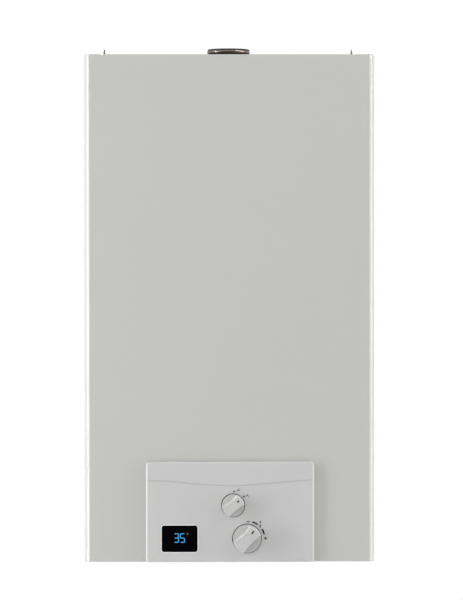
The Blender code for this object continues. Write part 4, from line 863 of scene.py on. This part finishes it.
def makeMarks():
    look = markLook
    mode = knobs["mode"]
    scale = knobs["temperature"]
    black = [printDot(aroundKnob(mode, *place), look["dot"]) for place in look["modeDots"]]
    for reach, start, end in look["scaleArcs"]:
        steps = look["dashSteps"]
        angles = [start + (end - start) * step / steps for step in range(steps + 1)]
        black.append(printStroke([aroundKnob(scale, reach, angle) for angle in angles], look["dash"]))
    black.append(printDot(onPanel(scale, *look["bulbAt"]), look["bulb"]))
    grey = []
    for tap in look["modeTaps"]:
        grey += printTap(mode, *tap)
    right, up = look["plusAt"]
    reach = look["plusReach"]
    level = [(right - reach, up), (right + reach, up)]
    upright = [(right, up - reach), (right, up + reach)]
    sign = look["sign"]
    stem = sign * look["stemShare"]
    for line, radius in ((look["stem"], stem), (look["minus"], sign), (level, sign), (upright, sign)):
        grey.append(printStroke([onPanel(scale, *point) for point in line], radius))
    dress(joinPieces("blackMarks", black), "printBlack")
    dress(joinPieces("greyMarks", grey), "printGrey")


makeMarks()
print("the marks are printed")

# The display: a dark lens with two lit figures
displayLook = {
    "corner": 0.0028, "cornerSteps": 8, "edge": 0.0004, "edgeSteps": 3, "bezel": 0.0014, "bezelProud": 0.0003,
    "bezelDepth": 0.0018, "bezelEdge": 0.0003, "digitHeight": 0.0114, "digitWidth": 0.0060, "stroke": 0.00102,
    "point": 0.96, "space": 0.00013, "proud": 0.00004, "digitLeft": -0.0673, "digitPitch": 0.0073,
    "digitLow": -0.5245, "degreeX": -0.0510, "degreeZ": -0.5138, "degreeRadius": 0.0011, "degreeHole": 0.45,
    "degreeSides": 24,
}
litBars = {"3": "abcdg", "5": "acdfg"}  # clockwise from the top bar, and g in the middle


def makeDisplayLens():
    look = displayLook
    lens = addBlock("displayLens", windowLow, windowHigh)
    roundCorners(lens, look["corner"], look["cornerSteps"])
    roundRim(lens, windowLow.y, look["edge"], look["edgeSteps"])
    smoothOver(lens, 30)
    return dress(lens, "lensGloss", stoodFor=["display_window"])


# a raised ring round the window; its pale colour paints the highlight on the window's bevelled edge
def makeDisplayBezel():
    look = displayLook
    blocks = []
    for reach, past in ((look["bezel"], 0), (hair, 0.002)):  # the bezel, and what opens it
        low = (windowLow.x - reach, panelFace - look["bezelProud"] - past, windowLow.z - reach)
        high = (windowHigh.x + reach, panelFace + look["bezelDepth"] + past, windowHigh.z + reach)
        block = addBlock("displayBezel", low, high)
        roundCorners(block, look["corner"] + reach, look["cornerSteps"])
        blocks.append(block)
    bezel = carve(*blocks)
    softenEdges(bezel, look["bezelEdge"], 2, 40)
    smoothOver(bezel, 30)
    return dress(bezel, "bezelHighlightPlastic")


def makeBar(start, end):  # one bar of a figure, with pointed ends
    look = displayLook
    half = look["stroke"] / 2
    low = Vector((min(start[0], end[0]), windowLow.y - look["proud"], min(start[1], end[1])))
    high = Vector((max(start[0], end[0]), windowLow.y + look["proud"], max(start[1], end[1])))
    along = 0 if high.x - low.x > high.z - low.z else 2
    across = 2 - along
    low[along] += look["space"]
    high[along] -= look["space"]
    low[across] -= half
    high[across] += half
    bar = addBlock("bar", low, high)
    roundCorners(bar, half * look["point"], 1, look["proud"])
    return bar


def makeDigit(name, figure, left):
    look = displayLook
    half = look["stroke"] / 2
    x0 = left + half
    x1 = left + look["digitWidth"] - half
    z0 = look["digitLow"] + half
    z2 = look["digitLow"] + look["digitHeight"] - half
    z1 = (z0 + z2) / 2
    ends = {
        "a": ((x0, z2), (x1, z2)), "b": ((x1, z1), (x1, z2)), "c": ((x1, z0), (x1, z1)),
        "d": ((x0, z0), (x1, z0)), "f": ((x0, z1), (x0, z2)), "g": ((x0, z1), (x1, z1)),
    }
    bars = [makeBar(*ends[bar]) for bar in litBars[figure]]
    return dress(joinPieces(name, bars), "digitGlow")


def makeDegreeMark():
    look = displayLook
    place = (look["degreeX"], windowLow.y, look["degreeZ"])
    proud = look["proud"]
    outer = look["degreeRadius"]
    inner = outer * look["degreeHole"]
    profile = [(outer, -proud), (outer, proud), (inner, proud), (inner, -proud)]
    mark = turnUp("degreeMark", profile, look["degreeSides"], place, "Y", ring=True)
    return dress(mark, "degreeGlow")


makeDisplayLens()
makeDisplayBezel()
makeDigit("digitTens", "3", displayLook["digitLeft"])
makeDigit("digitUnits", "5", displayLook["digitLeft"] + displayLook["digitPitch"])
makeDegreeMark()
print("the display is made")

# Flue collar: a rolled band on a neck with a flange, a black rubber seal on its rim whose black also paints
# the rim's dark reflection, and a ribbed black sleeve on the neck that paints the shade under the band
collarLook = {
    "radius": 0.0256, "wall": 0.001, "band": 0.0040, "bulge": 0.0010, "bulgeSteps": 12, "bulgePower": 0.7,
    "top": 0.0024, "lip": 0.0004, "lipArc": (20, 160), "lipSteps": 6, "neck": 0.0242, "neckStep": 0.0004,
    "bandSlope": 0.0012, "flange": 0.038, "fillet": 0.001, "seat": 0.0003, "sides": 160,
    "rimSealAndReflection": [  # the rim seal's section, its black painting the rim's dark reflection: out from the collar's radius and up from its rim
        (0.0004, -0.0001), (0.0004, 0.0006), (0, 0.001056), (-0.0006, 0.0012), (-0.0010, 0.0012),
        (-0.0016, 0.00072), (-0.0016, -0.0022), (-0.0010, -0.0022), (-0.0010, -0.0001),
    ],
    # shadeSleeve: thickness of the black sleeve on the neck, whose black paints the shade in the gap under
    # the band
    "shadeSleeve": 0.0010, "ridges": 3, "ridgeFoot": 0.6, "screwReach": 0.0325, "screws": 4,
}
collarLow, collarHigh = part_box("flue_collar")
flueAxis = middleOf("flue_collar")
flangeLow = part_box("collar_gasket")[1].z + collarLook["seat"]
flangeTop = flangeLow + collarLook["wall"]
rimTop = collarHigh.z - collarLook["top"]
bandLow = rimTop - collarLook["lip"] - collarLook["band"]


def makeFlueRing():
    look = collarLook
    radius = look["radius"]
    neck = look["neck"]
    wall = look["wall"]
    fillet = look["fillet"]
    flange = look["flange"]
    profile = [(neck, collarLow.z), (neck, flangeLow), (flange, flangeLow), (flange, flangeTop)]
    profile += [(neck + fillet, flangeTop), (neck, flangeTop + fillet), (neck, bandLow - look["neckStep"])]
    for step in range(look["bulgeSteps"] + 1):
        share = step / look["bulgeSteps"]
        bulge = look["bulge"] * math.sin(math.pi * share) ** look["bulgePower"]
        profile.append((radius + bulge, bandLow + look["band"] * share))
    start, end = look["lipArc"]
    profile += arcPoints((radius - wall / 2, rimTop - wall / 2), wall / 2, start, end, look["lipSteps"])
    profile += [(radius - wall, bandLow), (neck - wall, bandLow - look["bandSlope"])]
    profile += [(neck - wall, collarLow.z)]
    ring = turnUp("flueRing", profile, look["sides"], (flueAxis.x, flueAxis.y, 0), ring=True)
    smoothOver(ring, 40)
    return dress(ring, "flueSteel", stoodFor=["flue_collar"])


# Black rubber at the collar: a rim seal that also paints the rim's dark reflection, and a sleeve that paints
# the shade under the band
def makeFlueSealAndShade():
    look = collarLook
    # the seal on the rim: a rubber seal whose black also paints the dark reflection along the rim
    rimSealAndReflection = [(look["radius"] + out, rimTop + up) for out, up in look["rimSealAndReflection"]]
    inner = look["neck"] + hair / 2
    shadeSleeveLow = flangeTop + look["bandSlope"]
    shadeSleeveTop = bandLow - look["seat"]
    pitch = (shadeSleeveTop - shadeSleeveLow) / look["ridges"]
    shadeSleeve = [(inner, shadeSleeveLow)]
    for ridge in range(look["ridges"]):
        low = shadeSleeveLow + pitch * ridge
        foot = inner + look["shadeSleeve"] * look["ridgeFoot"]
        shadeSleeve += [(foot, low + hair), (inner + look["shadeSleeve"], low + pitch / 2), (foot, low + pitch - hair)]
    shadeSleeve += [(inner, shadeSleeveTop)]
    made = []
    for name, profile in (("rimSealAndReflection", rimSealAndReflection), ("shadeSleeve", shadeSleeve)):
        tube = turnUp(name, profile, look["sides"], (flueAxis.x, flueAxis.y, 0), ring=True)
        made.append(smoothOver(tube, 40))
    return dress(joinPieces("flueSealAndShade", made), "rubber")


screwLook = {
    "head": 0.0031, "rise": 0.0021, "skirt": 0.0002, "skirtShare": 0.96, "dome": (0.35, 0.7, 1.0, 1.25, 1.45),
    "cross": 0.0009, "crossReach": 0.0036, "crossDepth": 0.0012, "crossTaper": 0.6, "edge": 0.00012,
    "sides": 40,
}


def makeScrewHead():  # a domed head with a cross in it, its seat at z = 0
    look = screwLook
    head = look["head"]
    skirt = look["skirt"]
    rise = look["rise"]
    profile = [(head * look["skirtShare"], 0), (head, skirt)]
    profile += [(head * math.cos(a), skirt + (rise - skirt) * math.sin(a)) for a in look["dome"]]
    made = turnUp("screwHead", profile, look["sides"])
    floor = rise - look["crossDepth"]
    taper = look["crossTaper"]
    arms = []
    for x, y in ((look["cross"], look["crossReach"]), (look["crossReach"], look["cross"])):
        arm = addBlock("arm", (-x / 2, -y / 2, floor), (x / 2, y / 2, rise + overlap))
        pickFaces(arm, lambda normal: normal.z < -0.9)
        bpy.ops.transform.resize(value=(taper, taper, 1), center_override=(0, 0, floor))
        leaveMesh()
        arms.append(arm)
    carve(made, weld(*arms))
    softenEdges(made, look["edge"], 2, 35)
    return evenShading(made)


def makeFlangeScrews():
    look = collarLook
    reach = look["screwReach"]
    head = makeScrewHead()
    made = []
    for number in range(look["screws"]):
        angle = 2 * math.pi * (number + 0.5) / look["screws"]
        place = (flueAxis.x + reach * math.cos(angle), flueAxis.y + reach * math.sin(angle), flangeTop)
        made.append(copyPiece(head, "screwCopy", place))
    throwAway(head)
    return dress(joinPieces("flangeScrews", made), "plated")


makeFlueRing()
makeFlueSealAndShade()
makeFlangeScrews()
print("the flue collar is made")

# Cap nuts: a hexagon with softened corners and a ball on it
nutLook = {
    "flats": 0.007, "hexHeight": 0.0043, "corner": 0.0010, "cornerSteps": 5, "chamfer": 0.0006,
    "footShare": 0.97, "topShare": 0.94, "height": 0.0080, "ball": 0.0026, "ballFoot": 0.85,
    "ballArc": (-25, 84), "ballSteps": 14, "bore": 0.0023, "boreDepth": 0.0058, "boreSides": 24,
    "sides": 48,
}
cornerShare = 1 / math.cos(math.radians(30))  # a hexagon's corners to its flats, both from the middle
clearShare = 1.02  # what chamfers a hexagon is this much wider than its corners


def makeCapNut(low):
    look = nutLook
    radius = look["flats"] / 2
    corner = radius * cornerShare
    hexTop = low + look["hexHeight"]
    nut = turnUp("nut", [(corner, low), (corner, hexTop)], 6)
    pickEdges(nut, lambda a, b: abs(a.z - b.z) > look["corner"])
    bevelPicked(look["corner"], look["cornerSteps"])
    clear = corner * clearShare
    chamfer = [(radius * look["footShare"], low - hair), (clear, low + look["chamfer"])]
    chamfer += [(clear, hexTop - look["chamfer"]), (radius * look["topShare"], hexTop + 2 * hair)]
    combine(nut, turnUp("chamfer", chamfer, look["sides"]), "INTERSECT")
    ball = look["ball"]
    dome = [(ball * look["ballFoot"], hexTop - overlap)]
    start, end = look["ballArc"]
    dome += arcPoints((0, low + look["height"] - ball), ball, start, end, look["ballSteps"])
    weld(nut, turnUp("dome", dome, look["sides"]))
    carve(nut, addRod("bore", (0, 0, low), look["bore"], look["boreDepth"] * 2, look["boreSides"]))
    return evenShading(nut, 30)


def makeNuts():
    nut = makeCapNut(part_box("cap_nut_left")[0].z)
    for side in ("left", "right"):
        place = middleOf(f"cap_nut_{side}")
        made = copyPiece(nut, f"capNut_{side}", (place.x, place.y, 0))
        dress(made, "plated", stoodFor=[f"cap_nut_{side}"])
    throwAway(nut)


makeNuts()
print("the cap nuts are made")

# Cover screws: the same cross head, upside down under the cover, with a plain shank
coverScrewLook = {
    "headSize": (1.2, 1.2, 1.04), "radius": 0.0018, "length": 0.0078, "tip": 0.001, "tipShare": 0.3,
    "sides": 24, "proud": 0.0003,
}


def makeCoverScrews():
    look = coverScrewLook
    head = makeScrewHead()
    head.rotation_euler = (math.pi, 0, 0)
    head.scale = look["headSize"]
    settle(head)
    radius = look["radius"]
    shank = [(radius, -2 * hair), (radius, look["length"] - look["tip"])]
    shank += [(radius * look["tipShare"], look["length"])]
    screw = weld(head, turnUp("shank", shank, look["sides"]))
    smoothOver(screw, 30)
    for side in ("left", "right"):
        place = middleOf(f"cover_screw_{side}")
        made = copyPiece(screw, f"coverScrew_{side}", (place.x, place.y, coverLow.z - look["proud"]))
        dress(made, "plated", stoodFor=[f"cover_screw_{side}"])
    throwAway(screw)


makeCoverScrews()
print("the cover screws are made")

# Pipe ends under the bottom plate: a real screw thread, a hexagon and a plain upper part
fittingLook = {
    "radius": 0.0105, "bore": 0.008, "boreMouth": 0.0008, "sides": 64, "threadDepth": 0.00112,
    "pitch": 0.001814, "threadEnd": 0.0128, "flats": 0.025, "hexLow": 0.0127, "hexHigh": 0.0187,
    "hexEdge": 0.0004, "hexShare": 0.97, "hexChamfer": 0.55, "topEdge": 0.0005,
    "tooth": [(1, 0.36), (0, 0.14), (-1, 0.36), (0, 0.14)],  # shares of the thread's depth and pitch
}
fittings = {"cold_inlet": "coldInlet", "hot_outlet": "hotOutlet", "gas_inlet": "gasInlet"}


def makeThread(low, high):  # wound over its whole length, then cut square at both ends
    look = fittingLook
    depth = look["threadDepth"]
    pitch = look["pitch"]
    clearSelection()
    bpy.ops.mesh.primitive_plane_add(size=0.002, location=(look["radius"] - depth, 0, low - pitch * 1.5))
    thread = settle(bpy.context.object)
    thread.name = "fitting"
    openWhole(thread)
    bpy.ops.mesh.merge(type="CENTER")  # the section grows from one point
    for tooth in range(int((high - low) / pitch) + 3):
        for across, along in look["tooth"]:
            step = {"value": (across * depth, 0, along * pitch)}
            bpy.ops.mesh.extrude_vertices_move(TRANSFORM_OT_translate=step)
    leaveMesh()
    sides = look["sides"]
    addModifier(thread, "SCREW", axis="Z", screw_offset=pitch, steps=sides, render_steps=sides)
    tidyMesh(thread)
    for z, below in ((low, True), (high, False)):
        openWhole(thread)
        bpy.ops.mesh.bisect(
            plane_co=(0, 0, z), plane_no=(0, 0, 1), use_fill=True, clear_inner=below, clear_outer=not below
        )
        leaveMesh()
    return tidyMesh(thread)


def makeHexagon(low, high):
    look = fittingLook
    radius = look["flats"] / 2
    corner = radius * cornerShare
    hexagon = turnUp("hexagon", [(corner, low), (corner, high)], 6)
    drop = (corner - radius) * look["hexChamfer"]
    clear = corner * clearShare
    chamfer = [(radius * look["hexShare"], low - hair), (clear, low + drop)]
    chamfer += [(clear, high - drop), (radius * look["hexShare"], high + hair)]
    combine(hexagon, turnUp("chamfer", chamfer, look["sides"]), "INTERSECT")
    return softenEdges(hexagon, look["hexEdge"], 2, 25)


def makeFittings():
    look = fittingLook
    low, high = (corner.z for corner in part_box("cold_inlet"))
    made = makeThread(low, low + look["threadEnd"])
    weld(made, makeHexagon(low + look["hexLow"], low + look["hexHigh"]))
    radius = look["radius"]
    edge = look["topEdge"]
    upper = [(radius, low + look["hexHigh"] - overlap), (radius, high - edge), (radius - edge, high)]
    weld(made, turnUp("upper", upper, look["sides"]))
    mouth = look["boreMouth"]
    inner = look["bore"]
    bore = [(inner + mouth, low - 2 * hair), (inner, low + mouth), (inner, high + overlap)]
    carve(made, turnUp("bore", bore, look["sides"]))
    evenShading(made, 28)
    for node, name in fittings.items():
        place = middleOf(node)
        piece = copyPiece(made, name, (place.x, place.y, 0))
        dress(piece, "brass", stoodFor=[node])
    throwAway(made)


makeFittings()
print("the pipe ends are made")

# Cable gland: a fluted cap over a flange, with an empty rubber seal in its mouth
glandLook = {
    "bore": 0.0052, "mouth": 0.0072, "edge": 0.0006, "softEdge": 0.0004, "shoulder": 0.0020, "lip": 0.0016,
    "slope": 0.0022, "cap": 0.0104, "capEnd": 0.0088, "flange": 0.0125, "flangeLow": 0.0102,
    "flangeHigh": 0.0137, "neck": 0.009, "sides": 96, "flutes": 16, "flute": 0.0013, "fluteOut": 0.45,
    "fluteMiddle": 0.004, "fluteSides": 16,
    "seal": [  # the seal's section: radius, and height over the gland's lower end
        (0.0040, 0.0012), (0.0045, 0.0007), (0.0051, 0.0009), (0.0051, 0.012), (0.0040, 0.012),
    ],
    "sealSides": 64,
}


def makeGland():
    look = glandLook
    low, high = (corner.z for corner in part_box("cable_gland"))
    place = middleOf("cable_gland")
    place.z = 0
    bore, mouth, cap, flange = (look[part] for part in ("bore", "mouth", "cap", "flange"))
    shoulder, capEnd, flangeLow, flangeHigh = (
        low + look[part] for part in ("shoulder", "capEnd", "flangeLow", "flangeHigh")
    )
    edge = look["edge"]
    soft = look["softEdge"]
    profile = [(bore, low + edge), (bore + edge, low), (mouth - edge, low), (mouth, low + soft)]
    profile += [(mouth + look["lip"], shoulder), (cap, shoulder + look["slope"]), (cap, capEnd)]
    profile += [(cap - edge, capEnd + edge), (cap - edge, flangeLow), (flange - soft, flangeLow)]
    profile += [(flange, flangeLow + soft), (flange, flangeHigh), (look["neck"], flangeHigh)]
    profile += [(look["neck"], high), (bore, high)]
    gland = turnUp("cableGland", profile, look["sides"], place, ring=True)
    radius = look["flute"]
    centre = (cap + radius * look["fluteOut"], 0, low + look["fluteMiddle"])
    flute = addRod("flute", centre, radius, look["capEnd"] - soft, look["fluteSides"])
    step = 2 * math.pi / look["flutes"]
    flutes = [copyPiece(flute, "fluteCopy", place, step * number) for number in range(look["flutes"])]
    throwAway(flute)
    carve(gland, joinPieces("flutes", flutes))
    evenShading(gland, 32)
    dress(gland, "blackPlastic", stoodFor=["cable_gland"])
    section = [(radius, low + up) for radius, up in look["seal"]]
    seal = turnUp("glandSeal", section, look["sealSides"], place, ring=True)
    return dress(smoothOver(seal, 35), "rubber")


makeGland()
print("the cable gland is made")

# Ribs pressed into the rear panel, standing out towards the wall: a frame and a cross in it
ribLook = {
    "inset": 0.034, "low": 0.090, "high": 0.455, "radius": 0.006, "roundness": 5, "proud": 0.0016,
    "corner": 0.020, "cornerSteps": 8, "face": -0.008, "crossReach": 0.8, "crossInset": 0.035,
}


def makeRearRibs():
    look = ribLook
    face = look["face"]
    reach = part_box("rear_panel")[1].x - look["inset"]
    low = coverLow.z + look["low"]
    high = coverLow.z + look["high"]
    corner = look["corner"]
    right = reach - corner
    top = high - corner
    bottom = low + corner
    outline = []
    for number, centre in enumerate([(right, top), (-right, top), (-right, bottom), (right, bottom)]):
        arc = arcPoints(centre, corner, 90 * number, 90 * number + 90, look["cornerSteps"])
        outline += [(across, face, up) for across, up in arc]
    ribs = [drawStroke("rib", outline, look["radius"], look["roundness"], closed=True)]
    for way in (-1, 1):
        end = reach * look["crossReach"] * way
        line = [(-end, face, low + look["crossInset"]), (end, face, high - look["crossInset"])]
        ribs.append(drawStroke("rib", line, look["radius"], look["roundness"]))
    made = joinPieces("rearRibs", ribs)
    flattenAgainst(made, face, look["proud"] / look["radius"])
    evenShading(made, 40)
    return dress(made, "zinc")


makeRearRibs()
print("the rear ribs are made")

# Light, floor and camera
worldLook = {"light": 0.408, "gloss": 1.0, "glossDark": 0.03, "darkFrom": 0.68, "darkTo": 0.80}
lampLook = {  # at is measured from the middle of the cover's front
    "leftWindow": {"at": (-2.3, -2.6, 0.6), "size": (1.5, 2.6), "power": 21.5, "mirrored": False},
    "rightWindow": {"at": (2.3, -2.6, 0.5), "size": (1.2, 2.6), "power": 10.0, "mirrored": False},
    "topLight": {"at": (-0.4, -1.8, 3.2), "size": (1.6, 1.6), "power": 9.0},
    "cornerLight": {"at": (1.5, -0.9, 1.9), "size": (0.5, 0.5), "power": 12.0},
    "leftEdge": {"at": (-1.9, -0.5, 0.1), "size": (0.4, 1.8), "power": 34.5, "colour": (0.96, 0.975, 1.0)},
    "rightEdge": {"at": (1.9, -0.30, 0.1), "size": (0.4, 1.8), "power": 24.5, "colour": (0.94, 0.965, 1.0)},
}
floorLook = {
    "colour": (0.86, 0.86, 0.86), "roughness": (0.9, 0), "specular": 0.1, "lift": 0.4, "drop": 1.0,
    "radius": 3.0, "sides": 64,
}
cameraLook = {
    "distance": 3.5, "yaw": 0.8, "rise": 0.067, "roll": -0.04, "pixelsPerMetre": 829.6, "frameHeight": 600,
    "aimX": 0.0024, "aimZ": 0.0100, "sensor": 36, "farEnd": 60,
}
white = (1, 1, 1)
middle = Vector((0, coverLow.y, (coverLow.z + coverHigh.z) / 2))


def makeWorld():  # white to the camera, and darker in mirrored views of what lies in front of the heater
    look = worldLook
    world = bpy.data.worlds.new("studio")
    bpy.context.scene.world = world
    world.use_nodes = True
    tree = world.node_tree
    back = tree.nodes["Background"]
    back.inputs["Color"].default_value = (*white, 1)
    path = addNode(tree, "ShaderNodeLightPath", (-1100, 200))
    ahead = addNode(tree, "ShaderNodeTexCoord", (-1300, -200))
    facing = addNode(tree, "ShaderNodeVectorMath", (-1100, -200), {1: (0, -1, 0)}, operation="DOT_PRODUCT")
    values = {"From Min": look["darkFrom"], "From Max": look["darkTo"]}
    values.update({"To Min": look["gloss"], "To Max": look["glossDark"]})
    dark = addNode(tree, "ShaderNodeMapRange", (-900, -200), values)
    shiny = addNode(tree, "ShaderNodeMix", (-650, 0), {2: look["light"]}, data_type="FLOAT")
    seen = addNode(tree, "ShaderNodeMath", (-650, 200), operation="MAXIMUM")
    level = addNode(tree, "ShaderNodeMix", (-350, 100), {3: 1.0}, data_type="FLOAT")
    wire(
        tree,
        (ahead, "Generated", facing, 0), (facing, "Value", dark, "Value"),
        (path, "Is Glossy Ray", shiny, 0), (dark, "Result", shiny, 3),
        (path, "Is Camera Ray", seen, 0), (path, "Is Transmission Ray", seen, 1),
        (seen, 0, level, 0), (shiny, 0, level, 2), (level, 0, back, "Strength"),
    )


def makeLamps():
    for name, lamp in lampLook.items():
        data = bpy.data.lights.new(name, "AREA")
        data.shape = "RECTANGLE"
        data.size, data.size_y = lamp["size"]
        data.energy = lamp["power"]
        data.color = lamp.get("colour", white)
        made = bpy.data.objects.new(name, data)
        bpy.context.scene.collection.objects.link(made)
        made.location = middle + Vector(lamp["at"])
        made.visible_glossy = lamp.get("mirrored", True)
        made.rotation_mode = "QUATERNION"
        made.rotation_quaternion = (middle - made.location).to_track_quat("-Z", "Y")


def makeFloor():  # it glows a little to the camera only, so that it looks white
    look = floorLook
    clearSelection()
    bpy.ops.mesh.primitive_circle_add(
        vertices=look["sides"], radius=look["radius"], location=(0, 0, coverLow.z - look["drop"]),
        fill_type="NGON",
    )
    floor = settle(bpy.context.object)
    floor.name = "floor"
    material, shader = newFinish("floorWhite", look)
    tree = material.node_tree
    path = addNode(tree, "ShaderNodeLightPath", (-600, -200))
    lift = addNode(tree, "ShaderNodeMath", (-300, -200), {1: look["lift"]}, operation="MULTIPLY")
    wire(tree, (path, "Is Camera Ray", lift, 0), (lift, 0, shader, "Emission Strength"))
    shader.inputs["Emission Color"].default_value = (*white, 1)
    floor.data.materials.append(material)


def makeCamera():
    look = cameraLook
    data = bpy.data.cameras.new("camera")
    camera = bpy.data.objects.new("camera", data)
    bpy.context.scene.collection.objects.link(camera)
    yaw = math.radians(look["yaw"])
    camera.location = middle + Vector((-math.sin(yaw), -math.cos(yaw), 0)) * look["distance"]
    camera.location.z += look["rise"]
    aim = middle + Vector((look["aimX"], 0, look["aimZ"]))
    camera.rotation_euler = (aim - camera.location).to_track_quat("-Z", "Y").to_euler()
    camera.rotation_euler.rotate_axis("Z", math.radians(look["roll"]))
    data.sensor_width = look["sensor"]
    data.lens = look["pixelsPerMetre"] * look["distance"] * data.sensor_width / look["frameHeight"]
    data.clip_end = look["farEnd"]
    bpy.context.scene.camera = camera


makeWorld()
makeLamps()
makeFloor()
makeCamera()
bpy.context.scene.view_settings.view_transform = "Standard"
print("the studio is set")
